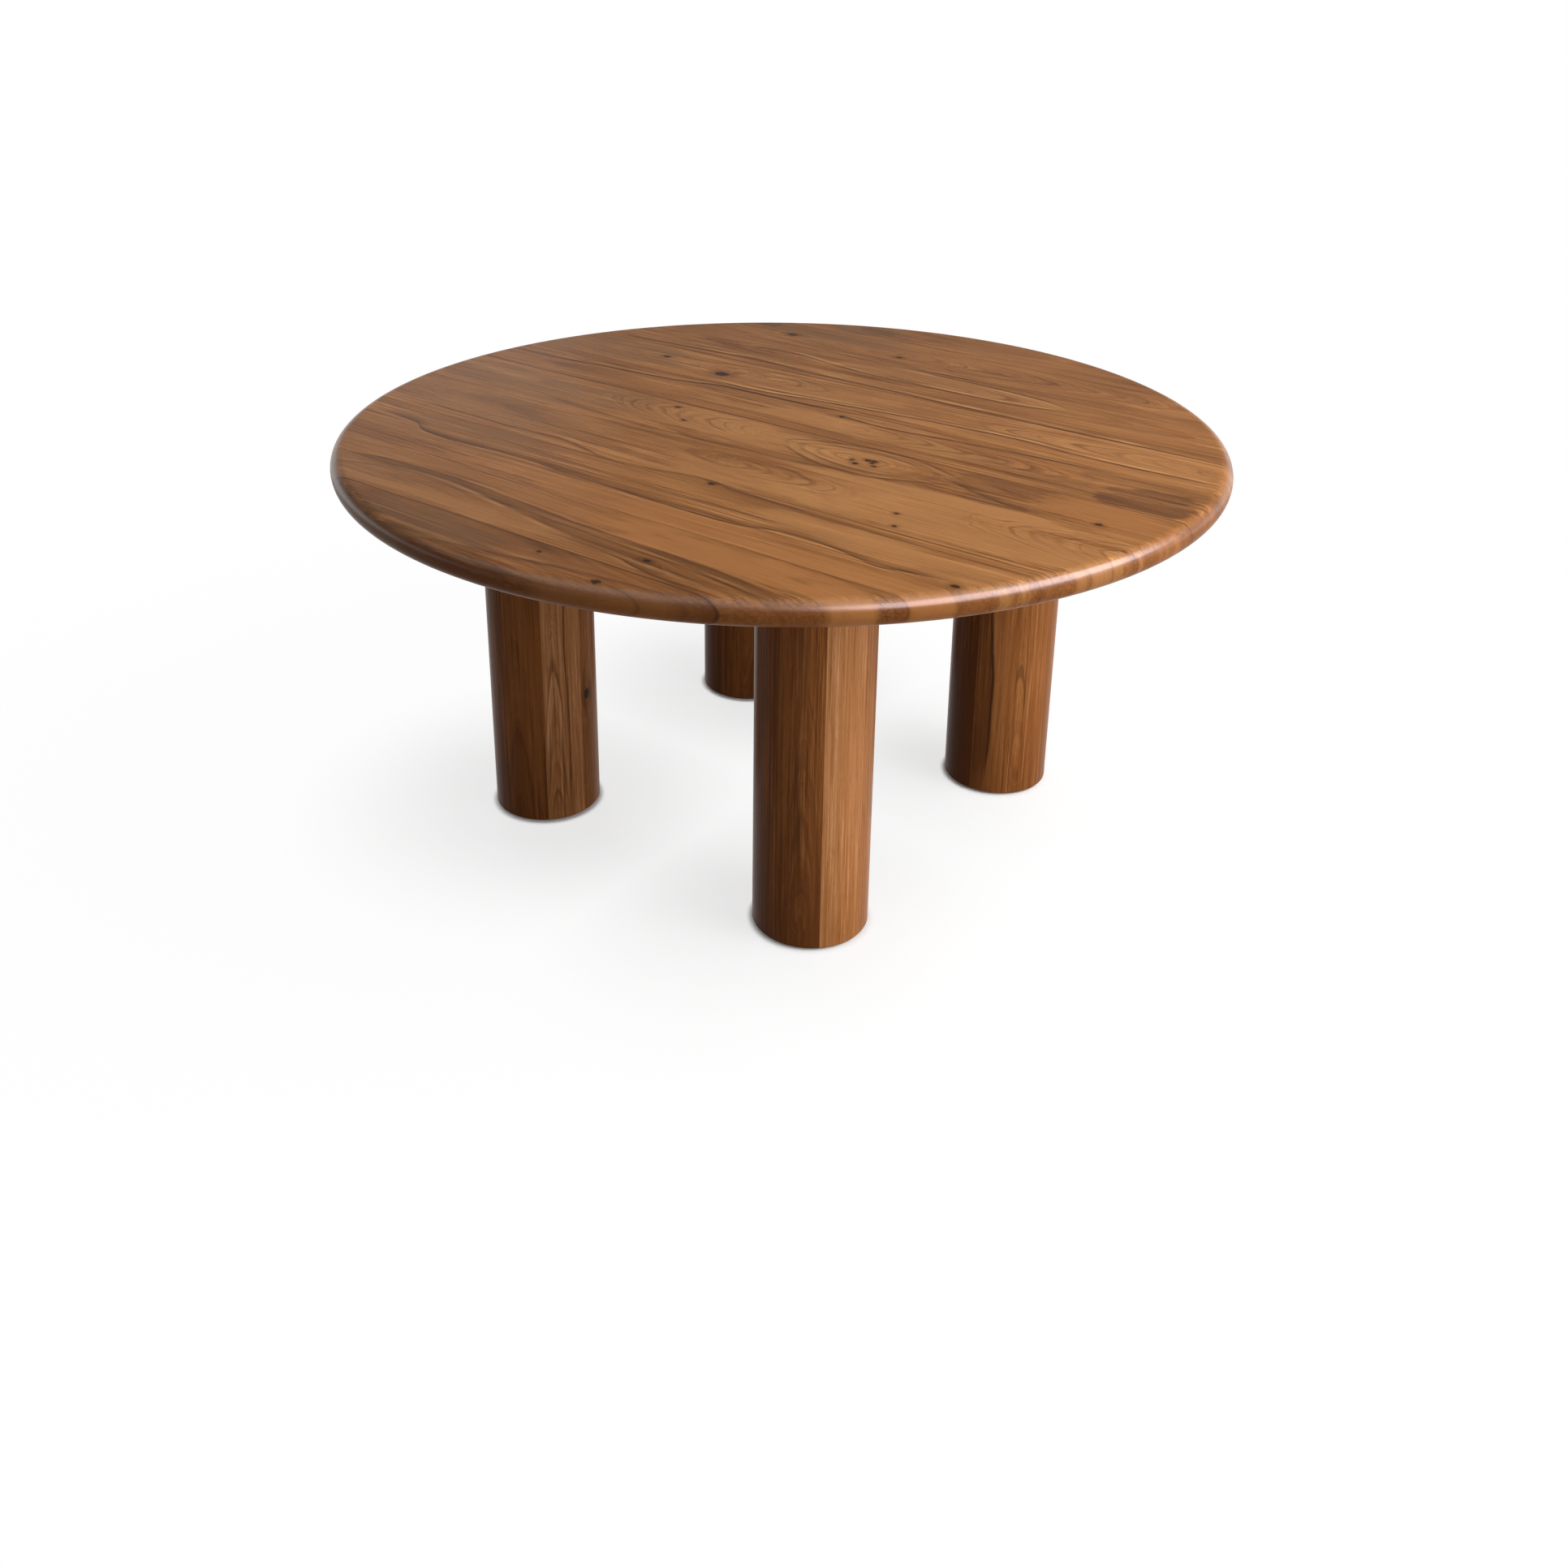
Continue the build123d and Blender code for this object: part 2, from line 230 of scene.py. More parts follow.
# %% [markdown]
# ## Colours and slots
# Colours are easier to note down as screen colours from 0 to 255, but a shader counts light, so
# each is turned into a linear colour first. A finish goes onto a frame node by filling its
# material slots, which leaves its mesh as it came.


# %% Colours and slots
def rgb(red, green, blue):
    """A screen colour from 0 to 255, as the linear colour that a shader takes."""
    return tuple(
        value / 255 / 12.92 if value <= 10 else ((value / 255 + 0.055) / 1.055) ** 2.4
        for value in (red, green, blue)
    )


def wear(node_name, material):
    """Gives one frame node this material in all its slots."""
    slots = nodes[node_name].data.materials
    slots.clear()
    slots.append(material)


# %% [markdown]
# ## Walnut
# Real walnut shows growth rings cut by the saw, darker bands of heartwood, fine pores that run
# with the grain, and now and then a knot that the rings swerve around. All of it follows one
# thing: how far a point lies from the pith of the tree. So the finish is solid. It works out that
# distance in space, and the same rings then show as long arches on the face of a board and as
# arcs of end grain on its round edge, as they do on the real table. The top is oiled to a satin
# sheen, and the legs are duller.

# %% Walnut colours
WALNUT_DARK = rgb(96, 58, 30)
WALNUT_MID = rgb(140, 92, 51)
WALNUT_LIGHT = rgb(176, 123, 74)
WALNUT_PALE = rgb(198, 148, 98)
WALNUT_LINE = rgb(66, 38, 20)
KNOT_HEART = rgb(44, 26, 16)
TOP_SHEEN = 0.11
LEG_SHEEN = 0.03
TINTS = {
    # the grey tint is partly painted shade and painted reflection haze: every grey patch lies on the left
    # half of the top
    "grey": rgb(104, 76, 52),
    "dark": rgb(84, 52, 31),
    "red": rgb(170, 113, 65),
    "light": rgb(182, 130, 80),
}
print("six walnut colours and", len(TINTS), "tints mixed")

# %% [markdown]
# ## Rings and grain
# The grain is built in layers, as it grows: wide bands of fast and slow years, thin lines, single
# rings with a dark late edge, fibres, and pores that the saw opens into short dashes. Each layer
# is a noise stretched along the board. A single stretched noise would be simpler, but it reads as
# brushed paint, because real grain has fine and coarse lines at once.

# %% Rings and grain
# about how many of each layer fit into a metre across the grain, or across the rings
BANDS, LINES, RINGS, CLOUDS, STRIPES, FIBRES, PORES = 17.0, 125.0, 120.0, 8.0, 16.0, 260.0, 1100.0
# how far each layer lightens or darkens the wood
BAND_DEPTH, LINE_DEPTH, RING_DEPTH, CLOUD_DEPTH = 0.40, 0.74, -0.10, 0.42
CALM_FIBRE, STRIPY_FIBRE = 1.0, 2.8


def walnut_pith(wood, along, across, height, seed, depth):
    """Distance from the pith, for a point along and across the grain and up from the board's face."""
    lifted = wood.add(wood.times(height, 2.0), seed)
    slow = wood.vector(wood.times(along, 1.6), wood.times(across, 4.0), lifted)
    quick = wood.vector(wood.times(along, 7.0), wood.times(across, 24.0), lifted)
    side = wood.add(across, wood.swing(slow, 0.026), wood.swing(quick, 0.006))
    below = wood.add(wood.times(height, 0.6), depth)
    return wood.length(side, below)


def walnut_tone(wood, along, across, height, pith, seed):
    """Light and dark of the wood about 0.5, from wide bands down to single fibres, and its pores."""

    def layer(along_rate, across_place, third, detail=2.0, roughness=0.5):
        position = wood.vector(wood.times(along, along_rate), across_place, third)
        return wood.noise(position, detail, roughness)

    wide = layer(0.6, wood.times(pith, BANDS), seed)
    lines = layer(1.2, wood.times(pith, LINES), wood.add(seed, 3.0), 5.0, 0.7)
    cloud = layer(3.0, wood.times(across, CLOUDS), wood.add(seed, 6.0), 3.0)
    fibre = layer(3.5, wood.times(across, FIBRES), wood.times(height, FIBRES), 5.0, 0.75)
    stripy = layer(2.2, wood.times(across, STRIPES), wood.add(seed, 9.0))
    pores = wood.fade(layer(45.0, wood.times(across, PORES), wood.times(height, PORES), 1.0), 0.58, 0.72)
    ring = wood.math("FRACT", wood.add(wood.times(pith, RINGS), wood.times(lines, 1.2)))
    ring = wood.math("POWER", ring, 5.0)
    tone = wood.add(
        0.5,
        wood.times(wood.subtract(wide, 0.5), BAND_DEPTH),
        wood.times(wood.subtract(lines, 0.5), LINE_DEPTH),
        wood.times(wood.subtract(cloud, 0.5), CLOUD_DEPTH),
        wood.times(wood.subtract(fibre, 0.5), wood.fade(stripy, 0.35, 0.70, CALM_FIBRE, STRIPY_FIBRE)),
        wood.times(ring, RING_DEPTH),
    )
    return tone, pores


# %% [markdown]
# ## Colour and surface
# The tone picks a colour from dark heartwood to pale sapwood. The pores stay open under the oil,
# so they are darker and rougher than the wood round them, and sink in a little. That small bump
# belongs in the material: a pore is a tenth of a millimetre wide, too fine to model.

# %% Colour and surface
WALNUT_STOPS = [(0.16, WALNUT_DARK), (0.50, WALNUT_MID), (0.86, WALNUT_LIGHT), (1.0, WALNUT_PALE)]
PORE_SHADE = 0.30
SATIN, PORE_ROUGHNESS, TONE_ROUGHNESS = 0.30, 0.12, 0.06
GRAIN_BUMP, GRAIN_BUMP_DEPTH = 0.10, 0.0004


def walnut_colour(wood, tone, pores):
    """The tone as a walnut colour, with the pores as short dark dashes."""
    return wood.blend(wood.times(pores, PORE_SHADE), wood.ramp(tone, WALNUT_STOPS), WALNUT_LINE)


def walnut_surface(wood, colour, tone, pores, sheen):
    """A satin oiled surface: the pores stay open, so they are rougher and slightly sunk."""
    duller = wood.times(pores, PORE_ROUGHNESS)
    uneven = wood.times(wood.subtract(tone, 0.5), TONE_ROUGHNESS)
    wood.finish(colour, wood.add(SATIN, duller, uneven))
    level = wood.shader.inputs["Specular IOR Level"]
    level.default_value = TOP_SHEEN
    wood.put(level, sheen)
    wood.bump(wood.subtract(wood.times(tone, 0.3), pores), GRAIN_BUMP, GRAIN_BUMP_DEPTH)


# %% [markdown]
# ## The boards of the top
# Each board is cut from a different part of a trunk, so each has its own heart line, the line
# straight above the pith where the arches are widest. A board whose heart line runs beside it
# shows nearly straight lines. The numbers are what a maker would note down while laying out the
# boards: where the heart runs, how deep the pith lies and how it tilts.

# %% Boards
# number: heart line as (x, y) points, pith depth in mm, its slope and its bow, and the board's tone
BOARDS = {
    1: ([(-450, -690), (-100, -700), (100, -712), (240, -738), (460, -742)], 40, 0.00, 0.05, -0.24),
    2: ([(-620, -655), (-500, -642), (-220, -615), (0, -635), (240, -655), (430, -675)],
        40, 0.00, 0.06, -0.02),
    3: ([(-700, -250), (700, -260)], 120, 0.02, 0.02, 0.04),
    4: ([(-700, -235), (0, -215), (400, -205), (790, -200)], 110, -0.04, 0.00, 0.05),
    5: ([(-780, -80), (-250, -66), (230, -70), (780, -60)], 60, 0.00, 0.03, 0.06),
    6: ([(-790, 38), (-470, 55), (-220, 80), (-70, 95), (110, 102), (300, 95), (790, 100)],
        55, 0.00, 0.02, 0.03),
    7: ([(-780, 235), (-300, 225), (-100, 242), (200, 235), (500, 225), (780, 225)], 45, 0.02, 0.03, 0.06),
    8: ([(-700, 395), (-400, 405), (0, 412), (395, 411), (700, 400)], 30, 0.00, 0.06, -0.02),
    9: ([(-600, 560), (-385, 555), (-83, 540), (145, 550), (500, 560)], 80, -0.03, 0.02, -0.03),
    10: ([(-480, 700), (-280, 690), (0, 720), (400, 730)], 80, 0.02, 0.02, -0.05),
}
# how far each joint between boards shows, from the front: a good joint hides, and a pale one is negative
SEAMS = (0.0, 0.85, 0.12, 0.35, 0.22, 0.85, 0.35, 0.40, 0.35, -0.45, 0.0)
RIM_WARMTH = (0.98, 0.86, 0.76)
print(len(BOARDS), "boards noted")

# %% [markdown]
# ## Figure in the boards
# A streak is a dark line that the tree laid down in one season, often with a pale one beside it.
# Each is a smooth line through a few points. An eye is where the saw met a bump in the rings, so
# they close into ovals. A knot is the foot of a branch: it is dark in the middle, and the rings
# rise round it. A patch is a cloud of darker, greyer or redder heartwood. The grey patches all lie
# on the left half of the top, where they are partly greyer heartwood and partly painted shade and
# painted reflection haze.

# %% Streaks
# board: [(points, width, strength of the dark line, strength of the pale line, width of the shaded side)]
# in mm; the pale line and the shaded side lie above the dark line, or below it where they are negative
STREAKS = {
    1: [
        ([(240, -740), (330, -736), (460, -744)], 1.5, 0.8, 0.0, 0),
        ([(-120, -790), (60, -755), (230, -720)], 3, 0.45, 0.1, -12),
        ([(30, -765), (180, -735), (420, -700)], 3, 0.50, 0.2, -10),
    ],
    2: [
        ([(-500, -602), (-440, -585), (-350, -577), (-240, -573), (-80, -583), (100, -598), (300, -603),
          (480, -621)], 2.5, 0.70, 0.25, -34),
        ([(-450, -618), (-370, -592), (-240, -586), (-40, -614), (60, -630), (200, -642), (420, -655)],
         3.5, 0.50, -0.35, 22),
        ([(40, -648), (200, -655), (260, -669), (400, -682)], 2.5, 0.70, -0.3, 16),
        ([(-470, -650), (-420, -620), (-350, -598), (-240, -600), (-100, -622)], 6, 0.30, 0.1, 0),
        ([(-40, -606), (120, -616), (300, -626), (470, -640)], 2.5, 0.50, 0.3, 0),
    ],
    3: [
        ([(-650, -403), (-570, -405), (-520, -412), (-485, -430), (-450, -437), (-240, -431), (-80, -440),
          (100, -447), (260, -445), (330, -426), (440, -432), (515, -447), (560, -436), (640, -430)],
         2.2, 0.85, -0.25, 26),
        ([(-450, -372), (-200, -392), (100, -405), (450, -398)], 6, 0.25, 0.0, 0),
    ],
    4: [
        ([(-620, -312), (-470, -318), (-320, -318), (-260, -312), (-170, -330), (-120, -342), (-20, -335),
          (70, -318), (160, -328), (300, -335), (500, -344), (720, -347)], 3.5, 0.60, 0.2, -14),
        ([(70, -318), (200, -320), (500, -322), (760, -323)], 2.0, 0.55, 0.3, 0),
        ([(-60, -215), (0, -235), (70, -240), (140, -215)], 4, 0.35, 0.0, 8),
        ([(-320, -255), (-220, -262), (-120, -258)], 7, 0.35, 0.0, 0),
    ],
    5: [
        ([(-480, -134), (-400, -145), (-300, -155), (-120, -168)], 7, 0.45, 0.0, 12),
        ([(-160, -140), (-100, -155), (50, -152), (160, -150), (220, -136)], 5, 0.55, 0.1, -14),
        ([(360, -52), (420, -74), (490, -98), (560, -113), (615, -104)], 4, 0.60, 0.0, 28),
        ([(430, -28), (500, -52), (570, -62)], 5, 0.50, 0.0, 30),
        ([(50, -68), (100, -40), (170, -18), (290, -12), (370, -34), (430, -62)], 3, 0.55, -0.4, 8),
        ([(50, -72), (100, -102), (170, -130), (270, -138), (340, -118), (420, -80)], 3, 0.60, 0.4, -10),
        ([(90, -67), (130, -48), (200, -32), (290, -34), (350, -56)], 2.5, 0.45, -0.4, 0),
        ([(90, -73), (130, -94), (200, -114), (280, -117), (350, -90)], 2.5, 0.50, 0.4, 0),
    ],
    6: [
        ([(-770, 75), (-620, 80), (-510, 93), (-400, 100), (-320, 110), (-250, 128), (-100, 132), (60, 136)],
         3.5, 0.90, 0.35, -10),
        ([(20, 110), (70, 112), (150, 105), (300, 118), (450, 130), (600, 135)], 3, 0.80, 0.4, 0),
        ([(-300, 30), (100, 24), (500, 30), (700, 20)], 4, 0.30, 0.1, 0),
    ],
    7: [
        ([(-300, 150), (-160, 150), (-40, 165), (100, 182), (250, 193), (400, 197), (500, 186), (600, 184),
          (780, 188)], 3, 0.80, 0.9, 0),
        ([(-240, 160), (-40, 178), (150, 200), (400, 212), (520, 200)], 3.5, 0.45, 0.7, 0),
        ([(-330, 232), (-250, 262), (-180, 271), (-130, 262), (-105, 240)], 3, 0.40, -0.9, 8),
        ([(-285, 216), (-210, 238), (-150, 250), (-120, 246)], 3, 0.35, -0.8, 0),
    ],
    8: [
        ([(-700, 312), (-550, 318), (-420, 326), (-330, 332), (-240, 326), (-100, 318), (50, 314), (150, 308),
          (300, 303), (500, 299), (700, 298)], 4, 0.75, 0.9, -12),
        ([(-430, 405), (-360, 420), (-280, 424), (-180, 404), (-60, 386), (100, 383), (250, 383), (330, 394),
          (372, 412)], 3.5, 0.50, 0.8, 0),
        ([(-60, 473), (60, 468), (160, 462), (260, 452), (330, 438), (372, 416)], 3.5, 0.70, -0.7, 10),
    ],
    9: [
        ([(90, 553), (145, 553), (200, 550)], 5, 0.60, 0.0, 0),
        ([(-500, 480), (-300, 478), (0, 480), (400, 476)], 4, 0.30, 0.3, 0),
    ],
    10: [
        ([(-340, 660), (-240, 662), (-195, 690), (-205, 715)], 3, 0.55, 0.2, 12),
    ],
}
print(sum(len(lines) for lines in STREAKS.values()), "streaks noted")

# %% Eyes, knots and patches
# board: [(x, y, half length, half width, way the arches point)] in mm: -1 to -X, 1 to +X, 0 for closed ovals
EYES = {
    4: [(670, -195, 170, 60, -1), (180, -225, 150, 45, 1)],
    5: [(225, -70, 165, 62, 0), (-190, -58, 190, 66, -1), (670, -195, 170, 60, -1)],
    6: [(330, 70, 260, 50, 1)],
    7: [(-180, 232, 170, 46, 1), (500, 235, 240, 45, -1)],
    8: [(0, 405, 410, 48, 0)],
    9: [(250, 560, 300, 60, 1)],
}
# board: [(x, y, radius)] in mm
KNOTS = {
    1: [(240, -740, 6), (100, -712, 4)],
    2: [(245, -640, 5)],
    3: [(637, -440, 6)],
    4: [(108, -328, 5), (445, -300, 4), (418, -252, 4)],
    5: [(216, -82, 4), (231, -94, 5), (240, -68, 5), (252, -66, 5), (265, -88, 4), (254, -76, 4),
        (685, -97, 5), (-215, -36, 5), (-154, -92, 4)],
    6: [(60, 111, 5)],
    7: [(-298, 197, 13), (-475, 230, 7)],
    9: [(-382, 550, 9), (-90, 537, 6)],
}
# board: [(x, y, half length, half width, strength, tint)] in mm
# the grey patches, all on the left half of the top, are partly painted shade and painted reflection haze
PATCHES = {
    1: [(-160, -745, 200, 60, 0.45, "grey"), (250, -740, 200, 60, 0.25, "red")],
    2: [(-420, -640, 160, 40, 0.35, "grey"), (-150, -660, 260, 22, 0.30, "light"),
        (350, -560, 330, 42, 0.60, "red")],
    3: [(-420, -385, 250, 46, 0.35, "grey"), (250, -490, 560, 48, 0.45, "red"),
        (450, -385, 300, 40, 0.40, "light")],
    4: [(480, -245, 380, 75, 0.42, "light"), (-300, -215, 300, 40, 0.20, "dark"),
        (-560, -250, 260, 75, 0.40, "grey"), (130, -270, 210, 50, 0.35, "light")],
    5: [(690, -60, 130, 62, 0.40, "red"), (20, -70, 330, 60, 0.45, "light"), (485, -45, 80, 55, 0.42, "dark"),
        (510, -112, 70, 18, 0.45, "dark"), (-520, -90, 330, 75, 0.55, "grey"),
        (450, -158, 330, 30, 0.55, "light")],
    6: [(705, 45, 82, 62, 0.85, "dark"), (690, 112, 120, 24, 0.40, "dark"),
        (560, 35, 110, 34, 0.25, "dark"), (100, 60, 340, 40, 0.40, "light")],
    7: [(560, 235, 260, 50, 0.35, "light"), (-620, 215, 230, 85, 0.55, "grey"),
        (-100, 225, 200, 45, 0.25, "light")],
    8: [(100, 425, 290, 36, 0.35, "light")],
    9: [(-300, 590, 210, 70, 0.45, "grey"), (-485, 600, 30, 22, 0.60, "dark")],
    10: [(-300, 695, 130, 45, 0.60, "grey"), (-250, 690, 50, 22, 0.40, "dark")],
}
for title, marks in (("eyes", EYES), ("knots", KNOTS), ("patches", PATCHES)):
    print(sum(len(row) for row in marks.values()), title, "noted")

# %% [markdown]
# ## Drawing an eye and a knot
# An eye replaces the distance from the pith by the distance across its own ovals or arches, so all
# the grain bends round it, and thin dark lines are then laid along its rings. A knot pushes the
# rings aside in the same way. Both could be painted on top of straight grain, but the grain would
# then run through them.

# %% Eyes and knots
EYE_LINES = 460.0
HALO_DEPTH = 0.35


def eye_rings(wood, x, y, eye):
    """Distance across the rings of an eye or a stack of arches, in metres, and how far it reaches here."""
    over = wood.subtract(x, eye[0] / 1000)
    beside = wood.subtract(y, eye[1] / 1000)
    ragged = wood.swing(wood.vector(wood.times(x, 8.0), wood.times(y, 22.0), eye[3]), 0.9, 3.0)
    far = wood.math("DIVIDE", over, eye[2] / 1000)
    wide = wood.math("DIVIDE", beside, eye[3] / 1000)
    oval = wood.length(far, wide)
    rings = wood.add(wood.times(far, float(eye[4])), wood.times(wide, wide)) if eye[4] else oval
    reach = wood.fade(wood.add(oval, ragged), 1.20, 0.70)
    return wood.times(wood.add(rings, wood.times(ragged, 0.4)), eye[3] / 1000), reach


def ring_lines(wood, along, rings, reach, seed):
    """Thin dark lines along the rings of an eye, at uneven distances."""
    position = wood.vector(wood.times(rings, 90.0), wood.times(along, 3.0), seed)
    wave = wood.math("SINE", wood.add(wood.times(rings, EYE_LINES), wood.swing(position, 9.0, 3.0)))
    strong = wood.fade(wood.noise(position, 3.0), 0.36, 0.62, 0.10, 0.62)
    return wood.times(wood.fade(wave, 0.35, 1.0), strong, reach)


def knot_rise(wood, x, y, knot):
    """How far the rings are pushed out round one knot, in metres, and how far away its middle is."""
    over = wood.subtract(x, knot[0] / 1000)
    beside = wood.subtract(y, knot[1] / 1000)
    radius = knot[2] / 1000
    rise = wood.times(wood.bell(over, 4.5 * radius), wood.bell(beside, 2.6 * radius), 2.2 * radius)
    away = wood.math("SQRT", wood.add(wood.times(over, over, 0.6), wood.times(beside, beside)))
    rough = wood.swing(wood.vector(wood.times(x, 180.0), wood.times(y, 180.0), radius), 0.9)
    return rise, wood.add(wood.math("DIVIDE", away, radius), rough)


def knot_colour(wood, colour, away):
    """The dark heart of a knot and the shade round it, over the wood's colour."""
    halo = wood.times(wood.fade(away, 3.0, 1.0), HALO_DEPTH)
    colour = wood.blend(halo, colour, WALNUT_LINE)
    return wood.blend(wood.fade(away, 1.15, 0.75, 0.0, 0.9), colour, KNOT_HEART)


def bend_rings(wood, x, y, pith, eyes, knots):
    """Bends the rings round the eyes and knots, and gives what is needed to draw these later."""
    eyes = [eye_rings(wood, x, y, eye) for eye in eyes]
    for rings, reach in eyes:
        pith = wood.add(pith, wood.times(wood.subtract(rings, pith), reach))
    knots = [knot_rise(wood, x, y, knot) for knot in knots]
    for rise, _ in knots:
        pith = wood.subtract(pith, rise)
    return pith, eyes, [away for _, away in knots]


# %% [markdown]
# ## Drawing a streak and a patch
# A streak is drawn by how far a point lies from its line. It is broken up by noise and fades at
# both ends, and a shaded side makes it look like the edge of a darker band. A patch is an oval
# whose edge is made ragged along the grain.


# %% Streaks and patches on the wood
def streak_shares(wood, x, y, streak):
    """How much of one streak's dark and pale lines shows here: they thin, break and fade out at the ends."""
    points, width, dark, pale, shaded = streak
    first, last = points[0][0] / 1000, points[-1][0] / 1000
    jitter = wood.swing(wood.vector(wood.times(x, 14.0), wood.times(y, 40.0), width), 0.006)
    gap = wood.add(wood.subtract(y, wood.curve(x, points)), jitter)
    broken = wood.noise(wood.vector(wood.times(x, 7.0), wood.times(y, 60.0), width + 4.0), 2.0)
    ends = wood.times(wood.fade(x, first - 0.02, first + 0.08), wood.fade(x, last + 0.02, last - 0.08))
    ends = wood.times(ends, wood.fade(broken, 0.25, 0.6, 0.65, 1.2))
    line = wood.times(wood.bell(gap, width / 1000), ends, dark)
    if shaded:
        beside = wood.fade(gap, shaded / 1000, 0.0, 0.0, 0.55 * dark)
        inside = wood.fade(wood.times(gap, math.copysign(1.0, shaded)), -0.001, 0.001)
        beside = wood.times(beside, ends, inside)
        line = wood.math("MAXIMUM", line, beside)
    aside = wood.subtract(gap, math.copysign(0.0024 * width, pale))
    light = wood.times(wood.bell(aside, 0.0015 * width), ends, wood.fade(broken, 0.3, 0.7))
    return line, wood.times(light, 0.6 * abs(pale))


def streak_colour(wood, colour, line, light):
    """A streak's pale and dark lines over the wood's colour."""
    return wood.blend(line, wood.blend(light, colour, WALNUT_PALE), WALNUT_LINE)


def patch_share(wood, x, y, patch):
    """How much of one patch shows at a point: an oval with ragged edges that run with the grain."""
    over = wood.math("DIVIDE", wood.subtract(x, patch[0] / 1000), patch[2] / 1000)
    beside = wood.math("DIVIDE", wood.subtract(y, patch[1] / 1000), patch[3] / 1000)
    ragged = wood.swing(wood.vector(wood.times(x, 9.0), wood.times(y, 40.0), patch[4]), 3.2, 4.0)
    reach = wood.add(wood.times(over, over), wood.times(beside, beside), ragged)
    edge = (1.10, 0.80) if patch[5] == "dark" else (1.25, 0.35)
    return wood.fade(reach, *edge, 0.0, patch[4])


def draw_figure(wood, x, y, colour, eyes, streaks, knots, seed, calm=1.0):
    """The lines of the eyes, then the streaks, then the knots, over the wood's colour."""
    for rings, reach in eyes:
        colour = wood.blend(ring_lines(wood, x, rings, reach, seed), colour, WALNUT_DARK)
    for streak in streaks:
        shares = (wood.times(share, calm) for share in streak_shares(wood, x, y, streak))
        colour = streak_colour(wood, colour, *shares)
    for away in knots:
        colour = knot_colour(wood, colour, away)
    return colour


# %% [markdown]
# ## Finishing the boards
# Now each board gets its finish. The round edge is a little darker and redder than the face, its
# figure is calmer, and the ends of the boards drink more oil, so end grain is darker still. The
# upper part of the edge, where hands and sleeves polish it, shines most. Thin lines mark the
# joints between boards, which a good maker nearly hides.

# %% Board finish
SEAM_WIDTH = 0.0016
EDGE_SHADE, END_GRAIN_SHADE = -0.10, -0.12
EDGE_CALM = 0.6
EDGE_WARMTH_SHARE = 0.8
RIM_POLISH = 0.55


def board_walnut(number, name):
    """The finish of one board of the top."""
    wood = Shading(name + "_walnut")
    x, y, z = wood.place()
    heart, deep, slope, bow, lightness = BOARDS[number]
    seed = 11.3 * number
    height = wood.subtract(z, table_height)
    across = wood.subtract(y, wood.curve(x, heart))
    depth = wood.add(deep / 1000, wood.times(x, slope), wood.times(x, x, bow))
    pith = walnut_pith(wood, x, across, height, seed, depth)
    pith, eyes, knots = bend_rings(wood, x, y, pith, EYES.get(number, []), KNOTS.get(number, []))
    tone, pores = walnut_tone(wood, x, y, height, pith, seed)
    facing_end, _, facing_up = wood.split(wood.node("ShaderNodeNewGeometry").outputs["Normal"])
    end_grain = wood.fade(wood.math("ABSOLUTE", facing_end), 0.35, 0.85)
    edge = wood.fade(facing_up, 0.97, 0.45)
    calm = wood.subtract(1.0, wood.times(edge, EDGE_CALM))
    tone = wood.add(
        0.5, lightness, wood.times(wood.subtract(tone, 0.5), calm),
        wood.times(end_grain, END_GRAIN_SHADE), wood.times(edge, EDGE_SHADE),
    )
    colour = walnut_colour(wood, tone, pores)
    colour = wood.blend(wood.times(edge, EDGE_WARMTH_SHARE), colour, RIM_WARMTH, "MULTIPLY")
    for patch in PATCHES.get(number, []):
        share = wood.times(patch_share(wood, x, y, patch), wood.fade(tone, 0.9, 0.2, 0.5, 1.0))
        colour = wood.blend(share, colour, TINTS[patch[5]])
    colour = draw_figure(wood, x, y, colour, eyes, STREAKS.get(number, []), knots, seed, calm)
    low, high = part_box(name)
    for edge_y, shows in ((low.y, SEAMS[number - 1]), (high.y, SEAMS[number])):
        seam = wood.bell(wood.subtract(y, edge_y), SEAM_WIDTH)
        line = WALNUT_LINE if shows > 0 else WALNUT_LIGHT
        colour = wood.blend(wood.times(seam, abs(shows)), colour, line)
    polish = wood.times(wood.fade(facing_up, 0.98, 0.80), wood.fade(facing_up, 0.25, 0.50))
    sheen = wood.fade(facing_up, 0.0, 0.6, LEG_SHEEN, TOP_SHEEN)
    walnut_surface(wood, colour, tone, pores, wood.add(sheen, wood.times(polish, RIM_POLISH)))
    wear(name, wood.material)


for name in board_names:
    board_walnut(int(name[-2:]), name)
print(len(board_names), "boards finished")

# %% [markdown]
# ## The column legs
# A leg this thick can't be cut from one dry plank, so eight staves are glued edge to edge round a
# hollow core, like a barrel, and the column is turned round on a lathe. The grain stands upright.
# Every stave is a different stick, so the finish works out which stave a point is in from its
# angle round the column, and gives that stave its own heart, tone and place in the tree. Part of
# that tone is painted shade and light: the staves on the side away from the lamps are darker.

# %% Staves
STAVES = 8
# painted shade and light: a warm tint for darker wood as it looks in shade, a cool one for lighter wood as it
# looks lit
LEG_SHADE_AND_LIGHT_TINTS = {"dark": (1.0, 0.87, 0.74), "light": (1.0, 0.95, 1.06)}
# painted shade: how much darker the foot is drawn
LEG_FOOT_PAINTED_SHADE = 0.12
